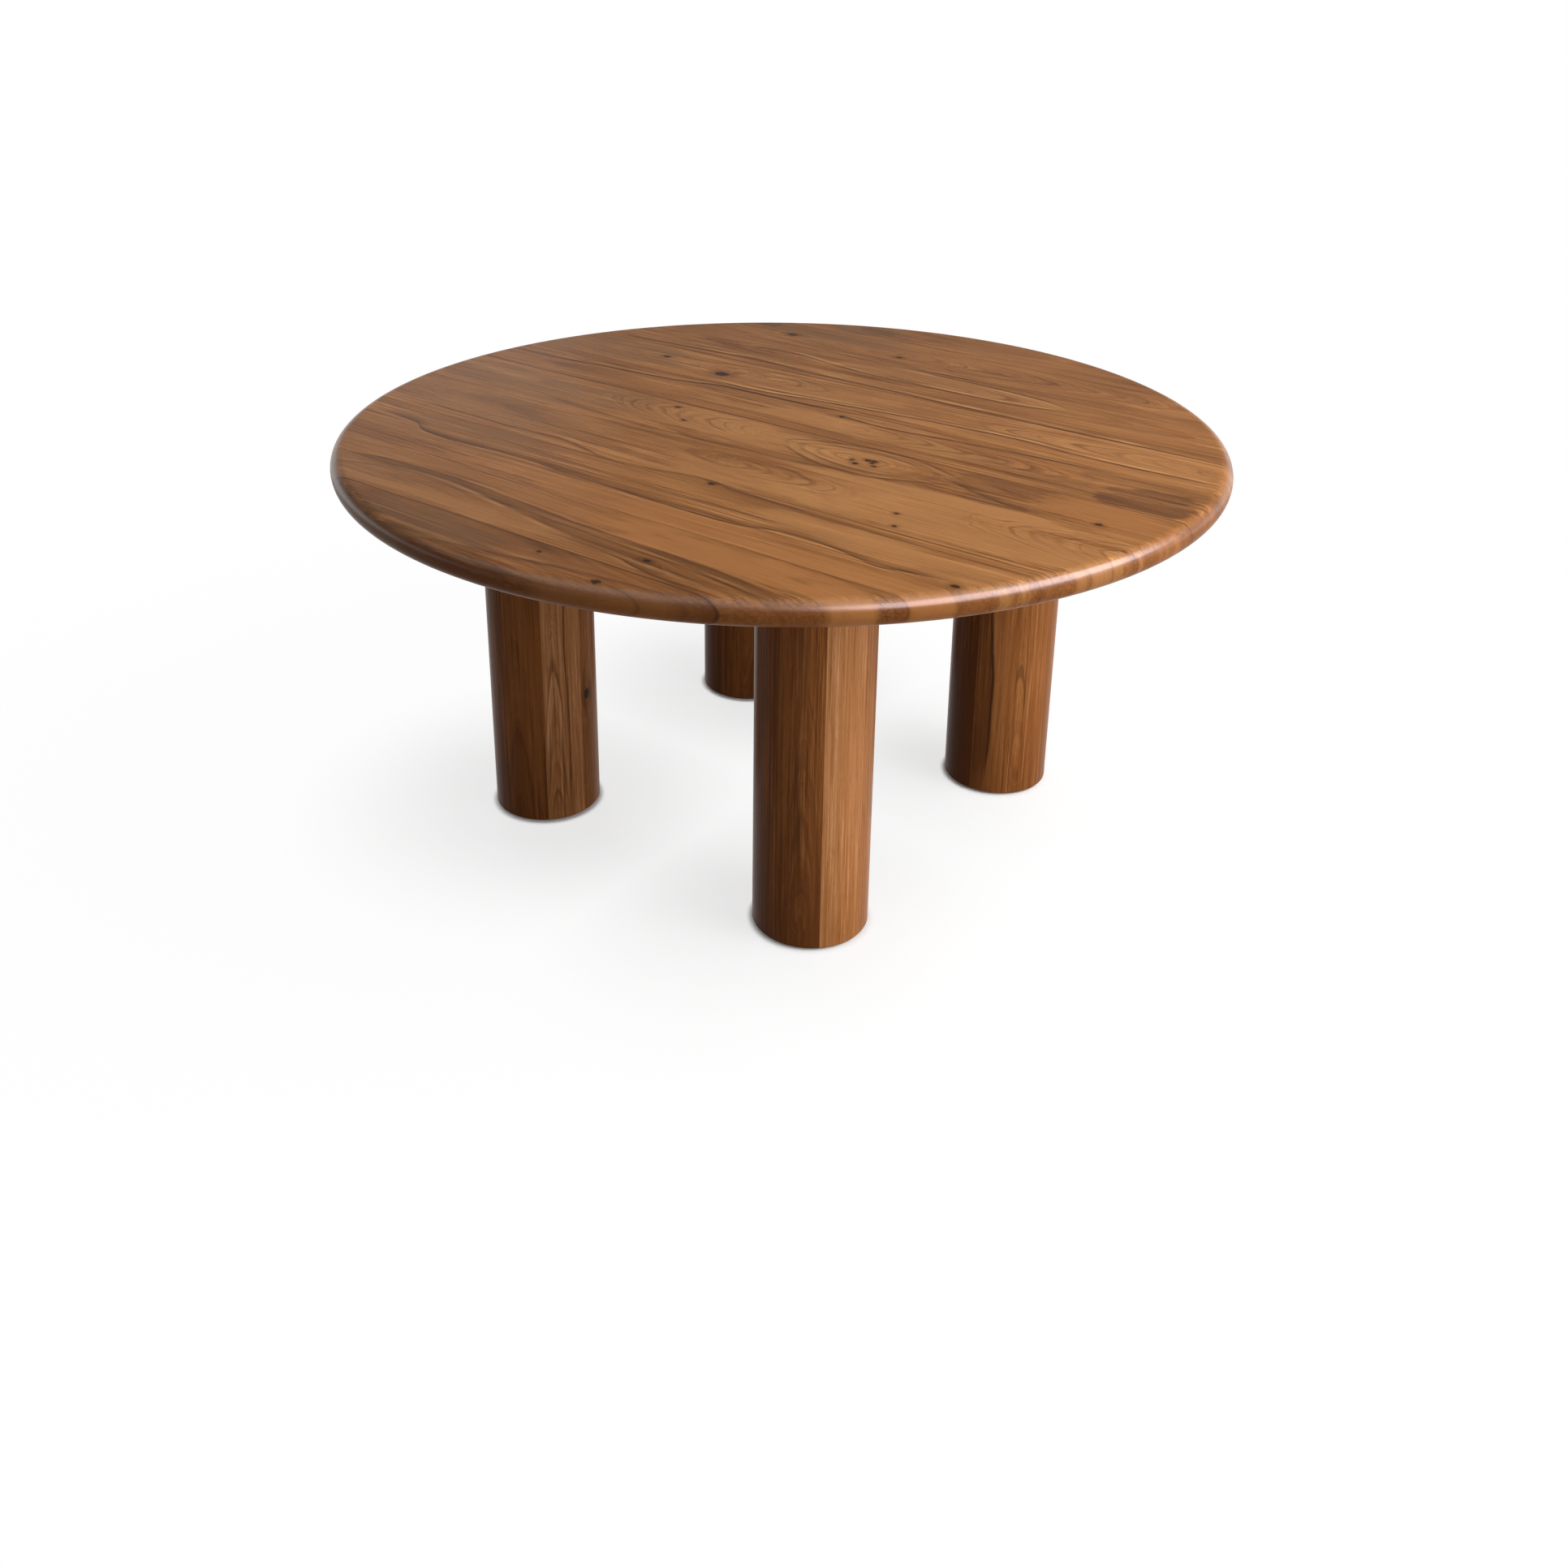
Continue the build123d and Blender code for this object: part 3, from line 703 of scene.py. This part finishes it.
# leg: the tone of each stave, counted from -X round past -Y; partly the stave's own tone and partly
# painted shade and light, so the second stave, turned away from the lamps, is darkest on every leg
STAVE_TONES_AND_PAINTED_SHADE = {
    1: (0.02, -0.24, 0.02, 0.02, -0.02, 0.05, -0.08, 0.03),
    2: (-0.06, -0.18, 0.02, 0.16, 0.06, -0.05, 0.02, -0.08),
    3: (-0.04, -0.16, -0.10, 0.40, 0.12, 0.04, -0.02, 0.05),
    4: (0.04, -0.22, -0.17, 0.31, 0.18, -0.06, 0.05, -0.05),
}
# leg: the same numbers as on the boards, with points given as the height and the place round the leg
LEG_STREAKS = {
    1: [([(20, -128), (250, -124), (420, -134), (600, -126), (700, -122)], 3, 0.90, 0.2, -60)],
    3: [([(10, -34), (260, -31), (380, -36), (520, -29), (700, -33)], 2.0, 0.7, 0.3, 0),
        ([(170, 24), (250, 8), (340, 18)], 4, 0.45, 0.2, 0)],
    4: [([(120, -112), (330, -121), (500, -117), (700, -124)], 3, 0.45, 0.1, -20)],
}
# leg: stacks of arches, as on the boards, at a height and a place round the leg; 1 points up
LEG_EYES = {
    1: [(260, -70, 240, 24, 1)],
    2: [(250, -100, 250, 26, -1)],
    3: [(180, -58, 220, 22, 1)],
    4: [(240, -112, 240, 30, 1), (420, 40, 300, 24, -1)],
}
# leg: [(height, place round the leg, radius)] in mm
LEG_KNOTS = {1: [(520, 60, 7)], 2: [(260, 40, 6)], 3: [(250, 15, 8)]}
print(len(STAVE_TONES_AND_PAINTED_SHADE), "legs of", STAVES, "staves noted")

# %% [markdown]
# ## Finishing the legs
# The wood of a leg uses the same layers as a board, stood on end: along the grain is up, and
# across it is along the flat of a stave. A plain cylinder map would bend one plank round the
# column. Taking each stave by itself lets the colour change at the glue lines, as it does on the
# real leg. The foot is painted a little darker, which is painted shade low on the leg.

# %% Leg finish
STAVE_CONTRAST = 0.75
STAVE_SHADE = -0.04
GLUE_LINE = 0.45


def stave_place(wood, x, y, radius):
    """The turn in staves, the stave's number, and the place across it, out from it and round the leg."""
    angle = wood.math("ARCTAN2", y, x)
    step = 2 * math.pi / STAVES
    turn = wood.math("DIVIDE", wood.add(angle, math.pi), step)
    stave = wood.math("FLOOR", turn)
    middle = wood.subtract(wood.times(wood.add(stave, 0.5), step), math.pi)
    cosine, sine = wood.math("COSINE", middle), wood.math("SINE", middle)
    across = wood.subtract(wood.times(y, cosine), wood.times(x, sine))
    out = wood.add(wood.times(x, cosine), wood.times(y, sine))
    return turn, stave, across, wood.subtract(out, radius), wood.times(angle, radius)


def stave_chances(wood, stave, number):
    """Three numbers from 0 to 1 that differ from stave to stave."""
    pick = wood.node("ShaderNodeTexWhiteNoise", noise_dimensions="1D")
    wood.put(pick.inputs["W"], wood.add(stave, 20.0 * number))
    return wood.split(pick.outputs["Color"])


def leg_walnut(number):
    """The finish of one leg, with upright grain that differs from stave to stave."""
    name = f"leg_{number}_staves"
    wood = Shading(f"leg_{number}_walnut")
    x, y, z = wood.place()
    low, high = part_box(name)
    radius = (high.x - low.x) / 2
    x = wood.subtract(x, (low.x + high.x) / 2)
    y = wood.subtract(y, (low.y + high.y) / 2)
    turn, stave, across, height, round_leg = stave_place(wood, x, y, radius)
    chance, second, third = stave_chances(wood, stave, number)
    seed = wood.add(wood.times(chance, 40.0), 9.0 * number)
    shifted = wood.add(across, wood.times(wood.subtract(second, 0.5), 0.09))
    depth = wood.add(0.03, wood.times(third, 0.06), wood.times(z, wood.subtract(chance, 0.5), 0.09))
    pith = walnut_pith(wood, z, shifted, height, seed, depth)
    pith, eyes, knots = bend_rings(wood, z, round_leg, pith, LEG_EYES[number], LEG_KNOTS.get(number, []))
    tone, pores = walnut_tone(wood, z, shifted, height, pith, seed)
    # each stave's own tone together with painted shade and light by the side of the leg it faces
    shades = [(index / STAVES, (0.5 + shade,) * 3) for index, shade in enumerate(STAVE_TONES_AND_PAINTED_SHADE[number])]
    shade = wood.ramp(wood.math("DIVIDE", turn, STAVES), shades, "CONSTANT")
    # painted shade, darker towards the foot over the lowest 30 cm
    darker = wood.fade(z, 0.30, 0.0, 0.0, LEG_FOOT_PAINTED_SHADE)
    figure = wood.times(wood.subtract(tone, 0.5), STAVE_CONTRAST)
    tone = wood.subtract(wood.add(figure, shade, STAVE_SHADE), darker)
    # painted shade and light: darker wood gets the warm shaded tint, lighter wood the cool lit tint
    shade_and_light_tint = wood.blend(wood.fade(tone, 0.35, 0.85), LEG_SHADE_AND_LIGHT_TINTS["dark"], LEG_SHADE_AND_LIGHT_TINTS["light"])
    colour = wood.blend(1.0, walnut_colour(wood, tone, pores), shade_and_light_tint, "MULTIPLY")
    colour = draw_figure(wood, z, round_leg, colour, eyes, LEG_STREAKS.get(number, []), knots, seed)
    edge = wood.math("ABSOLUTE", wood.subtract(wood.math("FRACT", turn), 0.5))
    colour = wood.blend(wood.fade(edge, 0.490, 0.4985, 0.0, GLUE_LINE), colour, WALNUT_LINE)
    walnut_surface(wood, colour, tone, pores, LEG_SHEEN)
    wear(name, wood.material)


for number in leg_numbers:
    leg_walnut(number)
print("legs finished")

# %% [markdown]
# ## Steel, brass, plywood and nylon
# The hardware sits out of sight until the table is turned over. The channels and leg plates are
# powder coated, which dries to a faint orange-peel skin. The bolts are blackened, the screws and
# stems are zinc plated, and the threaded inserts are brass. The plugs in the legs are plywood,
# whose plies show as stripes, and the glides are moulded nylon.

# %% Hardware finishes
PLY_THICKNESS = 0.0014


def mottled(name, dark, light, grain, roughness, metallic, bump):
    """A finish whose colour drifts between two close shades, with a fine skin of bumps."""
    shading = Shading(name)
    x, y, z = shading.place()
    broad = shading.noise(shading.vector(*(shading.times(axis, 38.0) for axis in (x, y, z))), 4.0)
    skin = shading.noise(shading.vector(*(shading.times(axis, grain) for axis in (x, y, z))), 2.0)
    mixed = shading.add(shading.times(broad, 0.7), shading.times(skin, 0.3))
    shading.finish(
        shading.ramp(mixed, [(0.32, dark), (0.68, light)]),
        shading.add(roughness, shading.times(shading.subtract(mixed, 0.5), 0.25)),
        metallic,
    )
    shading.bump(skin, bump, 0.0002)
    return shading.material


def plywood(name):
    """Birch plies 1.4 mm thick, with the grain turned a quarter from one ply to the next."""
    wood = Shading(name)
    x, y, z = wood.place()
    ply = wood.math("DIVIDE", z, PLY_THICKNESS)
    odd = wood.math("GREATER_THAN", wood.math("FRACT", wood.times(ply, 0.5)), 0.5)
    along = wood.add(wood.times(x, odd), wood.times(y, wood.subtract(1.0, odd)))
    across = wood.add(wood.times(y, odd), wood.times(x, wood.subtract(1.0, odd)))
    layer = wood.math("FLOOR", ply)
    grain = wood.noise(wood.vector(wood.times(along, 12.0), wood.times(across, 260.0), layer), 3.0)
    glue = wood.fade(wood.math("ABSOLUTE", wood.subtract(wood.math("FRACT", ply), 0.5)), 0.44, 0.5)
    tone = wood.add(wood.times(grain, 0.6), wood.times(odd, 0.25), wood.times(glue, -0.45))
    stops = [(0.0, rgb(112, 78, 50)), (0.35, rgb(196, 158, 112)), (0.8, rgb(222, 190, 146))]
    wood.finish(wood.ramp(tone, stops), 0.6)
    wood.bump(grain, 0.15, 0.0003)
    return wood.material


def beech(name):
    """Pale beech with the short dark flecks of its rays."""
    wood = Shading(name)
    x, y, z = wood.place()
    fine = wood.vector(wood.times(x, 220.0), wood.times(y, 18.0), wood.times(z, 220.0))
    short = wood.vector(wood.times(x, 700.0), wood.times(y, 160.0), wood.times(z, 700.0))
    grain = wood.noise(fine, 3.0)
    flecks = wood.fade(wood.noise(short), 0.58, 0.7)
    colour = wood.ramp(grain, [(0.3, rgb(186, 140, 98)), (0.7, rgb(214, 172, 128))])
    wood.finish(wood.blend(wood.times(flecks, 0.4), colour, rgb(140, 96, 64)), 0.6)
    return wood.material


# %% [markdown]
# ## Finishing the hardware
# Each finish is made once and goes onto every node of its kind, so that one change of it shows on
# all of them.

# %% Hardware on the table
powder_coat = mottled("black_powder_coat", rgb(24, 24, 25), rgb(36, 36, 37), 1400.0, 0.50, 0.0, 0.25)
black_oxide = mottled("black_oxide", rgb(26, 25, 25), rgb(46, 44, 42), 2200.0, 0.42, 0.7, 0.10)
zinc_plate = mottled("zinc_plate", rgb(150, 152, 150), rgb(188, 188, 180), 2600.0, 0.34, 1.0, 0.08)
brass = mottled("turned_brass", rgb(150, 112, 56), rgb(190, 152, 88), 2400.0, 0.36, 1.0, 0.08)
nylon = mottled("black_nylon", rgb(22, 22, 23), rgb(32, 32, 33), 1800.0, 0.55, 0.0, 0.20)
birch = plywood("birch_plywood")
tenon_beech = beech("tenon_beech")

FINISHES = {
    "channel_left": powder_coat, "channel_middle": powder_coat, "channel_right": powder_coat,
    "channel_bolts": black_oxide, "plate_bolts": black_oxide, "plate_screws": zinc_plate,
    "channel_inserts": brass, "plate_inserts": brass, "board_tenons": tenon_beech,
}
for number in leg_numbers:
    FINISHES[f"leg_{number}_plate"] = powder_coat
    FINISHES[f"leg_{number}_top_plug"] = birch
    FINISHES[f"leg_{number}_foot_plug"] = birch
    FINISHES[f"leg_{number}_foot_insert"] = brass
    FINISHES[f"leg_{number}_glide_stem"] = zinc_plate
    FINISHES[f"leg_{number}_glide_base"] = nylon
for name, material in FINISHES.items():
    wear(name, material)
print(len(FINISHES), "hardware nodes finished")

# %% [markdown]
# ## Threaded glide stems
# Each leg stands on a glide whose steel stem screws into the brass insert in the foot, so the
# table can be levelled. The frame carries the stem as a plain rod. The thread could be painted on
# with a bump, but it shows as teeth in outline when a glide is screwed out, so it is modelled: one
# tooth is spun round the rod, rising by the pitch each turn, which is how a thread is cut.

# %% Threaded stems
THREAD_PITCH = 0.0015
THREAD_DEPTH = 0.0008
STEPS_PER_TURN = 28
THREAD_CREST = 0.00488
THREAD_ROOT = THREAD_CREST - THREAD_DEPTH
TOOTH_SUNK = 0.0003  # how far the tooth goes into the rod
TOOTH_RISES = (0.0, 0.00052, 0.00070, 0.00122)  # heights of the tooth's four corners
THREAD_RUN_IN = 0.0006  # plain rod below the thread
THREAD_RUN_OUT = 0.0012  # and above it
HEX_BEVEL = 0.0003
TIP_CHAMFER = 0.0010


def column(shape, sides, radius, bottom, top, turn=0.0):
    """Adds an upright prism or rod on the Z axis, and gives its corners."""
    place = Matrix.Translation((0, 0, (bottom + top) / 2)) @ Matrix.Rotation(turn, 4, "Z")
    made = bmesh.ops.create_cone(
        shape, cap_ends=True, segments=sides, radius1=radius, radius2=radius, depth=top - bottom, matrix=place
    )
    return made["verts"]


def soften(shape, edges, offset):
    """Rounds some edges."""
    bmesh.ops.bevel(shape, geom=edges, offset=offset, affect="EDGES", segments=2, profile=0.5, material=-1)


def cut_thread(shape, bottom, top):
    """Spins one tooth up round the rod."""
    start = bottom + THREAD_RUN_IN
    reaches = (THREAD_ROOT - TOOTH_SUNK, THREAD_CREST, THREAD_CREST, THREAD_ROOT - TOOTH_SUNK)
    corners = [shape.verts.new((reach, 0.0, start + rise)) for reach, rise in zip(reaches, TOOTH_RISES)]
    turns = int((top - THREAD_RUN_OUT - start - TOOTH_RISES[-1]) / THREAD_PITCH)
    bmesh.ops.spin(
        shape, geom=[shape.faces.new(corners)], cent=(0, 0, 0), axis=(0, 0, 1),
        dvec=(0, 0, THREAD_PITCH / STEPS_PER_TURN), angle=2 * math.pi * turns,
        steps=STEPS_PER_TURN * turns, use_merge=False, use_duplicate=False,
    )


print("thread of", round(1000 * THREAD_PITCH, 2), "mm pitch")

# %% [markdown]
# ## Four stems
# The hexagon sits in the glide's base and takes the spanner. The rod has a chamfered tip, so that
# it finds the insert. A spun shape can come out inside out and with doubled corners, so these are
# merged and the faces turned outwards. The count of open edges shows that the mesh is closed.


# %% Four stems
def threaded_stem(number):
    """A hexagon, a rod with a chamfered tip and a helical tooth, in the room of the frame's plain stem."""
    node = f"leg_{number}_glide_stem"
    low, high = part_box(node)
    middle = (low + high) / 2
    span = high - low
    base_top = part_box(f"leg_{number}_glide_base")[1].z
    shape = bmesh.new()
    turn_hex = 0.0 if span.x > span.y else math.pi / 6
    column(shape, 6, max(span.x, span.y) / 2, low.z, base_top, turn_hex)
    soften(shape, shape.edges[:], HEX_BEVEL)
    rod = column(shape, STEPS_PER_TURN, THREAD_ROOT, base_top, high.z)
    tip = [vert for vert in rod if vert.co.z > high.z - 1e-6]
    soften(shape, [edge for edge in shape.edges if all(vert in tip for vert in edge.verts)], TIP_CHAMFER)
    cut_thread(shape, base_top, high.z)
    bmesh.ops.remove_doubles(shape, verts=shape.verts[:], dist=1e-6)
    bmesh.ops.recalc_face_normals(shape, faces=shape.faces[:])
    bmesh.ops.translate(shape, verts=shape.verts[:], vec=(middle.x, middle.y, 0))
    loose = sum(1 for edge in shape.edges if len(edge.link_faces) != 2)
    mesh = bpy.data.meshes.new(f"leg_{number}_threaded_stem")
    shape.to_mesh(mesh)
    shape.free()
    mesh.materials.append(zinc_plate)
    stem = bpy.data.objects.new(mesh.name, mesh)
    bpy.context.scene.collection.objects.link(stem)
    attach(stem, f"glide_{number}")
    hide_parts(node)
    return len(mesh.polygons), loose


for number in leg_numbers:
    print("stem", number, "faces and open edges:", threaded_stem(number))

# %% [markdown]
# ## Floor
# The floor is white paper. White paint alone renders grey under plain light, so what the camera
# and the reflections see of it is mixed with a white that shines by itself. More of the paint
# shows near the legs, so the table keeps its soft shadow, and nearly all of it shows in the narrow
# gap under each foot. The light that bounces up from the floor stays lower, so that the undersides
# stay dark.

# %% Floor
FLOOR_HALF = 80.0
FLOOR_PAINT = [(0.3, (0.94, 0.94, 0.94)), (0.7, (0.95, 0.95, 0.95))]
FLOOR_BOUNCE = (0.42, 0.42, 0.42)

floor_mesh = bpy.data.meshes.new("floor")
floor_shape = bmesh.new()
bmesh.ops.create_grid(floor_shape, x_segments=1, y_segments=1, size=FLOOR_HALF)
floor_shape.to_mesh(floor_mesh)
floor_shape.free()
floor = bpy.data.objects.new("floor", floor_mesh)
bpy.context.scene.collection.objects.link(floor)

paper = Shading("floor_white")
floor_x, floor_y, _ = paper.place()
ray = paper.node("ShaderNodeLightPath").outputs
seen = paper.math("MAXIMUM", ray["Is Camera Ray"], ray["Is Glossy Ray"])
seen = paper.math("MAXIMUM", seen, ray["Is Transmission Ray"])
mottle = paper.noise(paper.vector(paper.times(floor_x, 2.0), paper.times(floor_y, 2.0), 0.0))
paper.finish(paper.blend(seen, FLOOR_BOUNCE, paper.ramp(mottle, FLOOR_PAINT)), 0.8)
paper.shader.inputs["Specular IOR Level"].default_value = 0.0

clear_of_legs = 10.0
for number in leg_numbers:
    low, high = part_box(f"leg_{number}_staves")
    over = paper.subtract(floor_x, (low.x + high.x) / 2)
    beside = paper.subtract(floor_y, (low.y + high.y) / 2)
    clear_of_legs = paper.math("MINIMUM", clear_of_legs, paper.length(over, beside))
leg_radius = (high.x - low.x) / 2
near = paper.fade(clear_of_legs, 0.12, 0.55, 0.74, 0.96)
far = paper.fade(clear_of_legs, 0.6, 2.4, 0.0, 0.04)
under_foot = paper.fade(clear_of_legs, leg_radius - 0.002, leg_radius + 0.012, 0.10, 1.0)
whiteness = paper.times(paper.add(near, far), under_foot)

shown = paper.node("ShaderNodeMixShader")
paper.put(shown.inputs[0], paper.times(seen, whiteness))
paper.put(shown.inputs[1], paper.shader.outputs[0])
paper.put(shown.inputs[2], paper.node("ShaderNodeEmission").outputs[0])
paper.put(paper.tree.nodes["Material Output"].inputs[0], shown.outputs[0])
floor_mesh.materials.append(paper.material)
print("floor of", 2 * FLOOR_HALF, "m laid")

# %% [markdown]
# ## Sky and backdrop
# The light comes mostly from above, like a ceiling of soft boxes, with white round the horizon and
# a dim wall between, so that the top doesn't mirror a white wall and stays deep in colour. The
# camera sees a plain white backdrop instead, and so do reflections near the horizon.

# %% Sky and backdrop
# height of a direction, from 0 at the horizon to 1 overhead, and how bright the sky is there
SKY_LEVELS = [(0.0, 0.98), (0.06, 0.98), (0.14, 0.04), (0.55, 0.06), (0.82, 0.95), (1.0, 1.0)]
SKY_STRENGTH = 0.92
BACKDROP_EDGE = (0.12, 0.18)

world = bpy.data.worlds.new("studio")
bpy.context.scene.world = world
world.use_nodes = True
sky = world.node_tree
sky_light = sky.nodes["Background"]
sky_light.inputs["Strength"].default_value = SKY_STRENGTH


def sky_math(operation, first, second):
    """One step of arithmetic between two sockets of the sky."""
    made = sky.nodes.new("ShaderNodeMath")
    made.operation = operation
    sky.links.new(first, made.inputs[0])
    sky.links.new(second, made.inputs[1])
    return made.outputs[0]


sky_split = sky.nodes.new("ShaderNodeSeparateXYZ")
sky.links.new(sky.nodes.new("ShaderNodeTexCoord").outputs["Generated"], sky_split.inputs[0])
sky_ramp = sky.nodes.new("ShaderNodeValToRGB")
sky.links.new(sky_split.outputs["Z"], sky_ramp.inputs[0])
sky.links.new(sky_ramp.outputs[0], sky_light.inputs["Color"])
while len(sky_ramp.color_ramp.elements) < len(SKY_LEVELS):
    sky_ramp.color_ramp.elements.new(0.5)
for element, (place, level) in zip(sky_ramp.color_ramp.elements, SKY_LEVELS):
    element.position = place
    element.color = (level, level, level, 1.0)

backdrop = sky.nodes.new("ShaderNodeBackground")
backdrop.inputs["Color"].default_value = (1.0, 1.0, 1.0, 1.0)
low_down = sky.nodes.new("ShaderNodeMapRange")
for name, value in zip(("From Min", "From Max", "To Min", "To Max"), (*BACKDROP_EDGE, 1.0, 0.0)):
    low_down.inputs[name].default_value = value
sky.links.new(sky_split.outputs["Z"], low_down.inputs["Value"])
sky_ray = sky.nodes.new("ShaderNodeLightPath").outputs
mirrored = sky_math("MAXIMUM", sky_ray["Is Glossy Ray"], sky_ray["Is Transmission Ray"])
mirrored = sky_math("MULTIPLY", mirrored, low_down.outputs[0])
sky_mix = sky.nodes.new("ShaderNodeMixShader")
sky.links.new(sky_math("MAXIMUM", sky_ray["Is Camera Ray"], mirrored), sky_mix.inputs[0])
sky.links.new(sky_light.outputs[0], sky_mix.inputs[1])
sky.links.new(backdrop.outputs[0], sky_mix.inputs[2])
sky.links.new(sky_mix.outputs[0], sky.nodes["World Output"].inputs[0])
print("sky of", len(SKY_LEVELS), "levels")

# %% [markdown]
# ## Lamps
# A soft key and a side window on the right shape the legs, a low front window reaches the left one
# past the front one, and a weak fill opens the shadows. A long strip shows only in reflections, and
# it lays the bright line along the round edge. A pale back window adds a little haze to the far
# boards. All are wide, because a small lamp would draw hard shadows on the floor.

# %% Lamps
# name: azimuth and elevation in degrees, distance in m, watts, width and height in m, colour
WHITE = (1.0, 1.0, 1.0)
LAMPS = {
    "key": (22, 42, 3.5, 92.0, 2.2, 2.2, WHITE),
    "side_window": (4, 14, 3.6, 82.0, 2.0, 2.0, WHITE),
    "front_window": (-24, 9, 3.6, 12.0, 1.2, 1.2, WHITE),
    "fill": (152, 9, 4.0, 34.0, 2.0, 2.0, WHITE),
    "strip": (3, 35, 3.2, 225.0, 4.6, 1.7, (0.94, 0.92, 1.0)),
    "back_window": (156, 13, 5.0, 4.5, 3.0, 1.5, (0.86, 0.92, 1.0)),
}
ONLY_REFLECTED = ("strip", "back_window")
LAMP_AIM = Vector((0.0, 0.0, 0.7))

for name, (azimuth, elevation, distance, watts, width, height, colour) in LAMPS.items():
    data = bpy.data.lights.new(name, "AREA")
    data.energy, data.color = watts, colour
    data.shape, data.size, data.size_y = "RECTANGLE", width, height
    lamp = bpy.data.objects.new(name, data)
    bpy.context.scene.collection.objects.link(lamp)
    lift, turn = math.radians(elevation), math.radians(azimuth)
    towards = Vector((math.cos(lift) * math.cos(turn), math.cos(lift) * math.sin(turn), math.sin(lift)))
    place = Matrix.Translation(LAMP_AIM + towards * distance)
    lamp.matrix_world = place @ towards.to_track_quat("Z", "Y").to_matrix().to_4x4()
    lamp.visible_diffuse = name not in ONLY_REFLECTED
    lamp.visible_glossy = name in ONLY_REFLECTED
bpy.context.scene.view_settings.view_transform = "Standard"
print(len(LAMPS), "lamps hung")
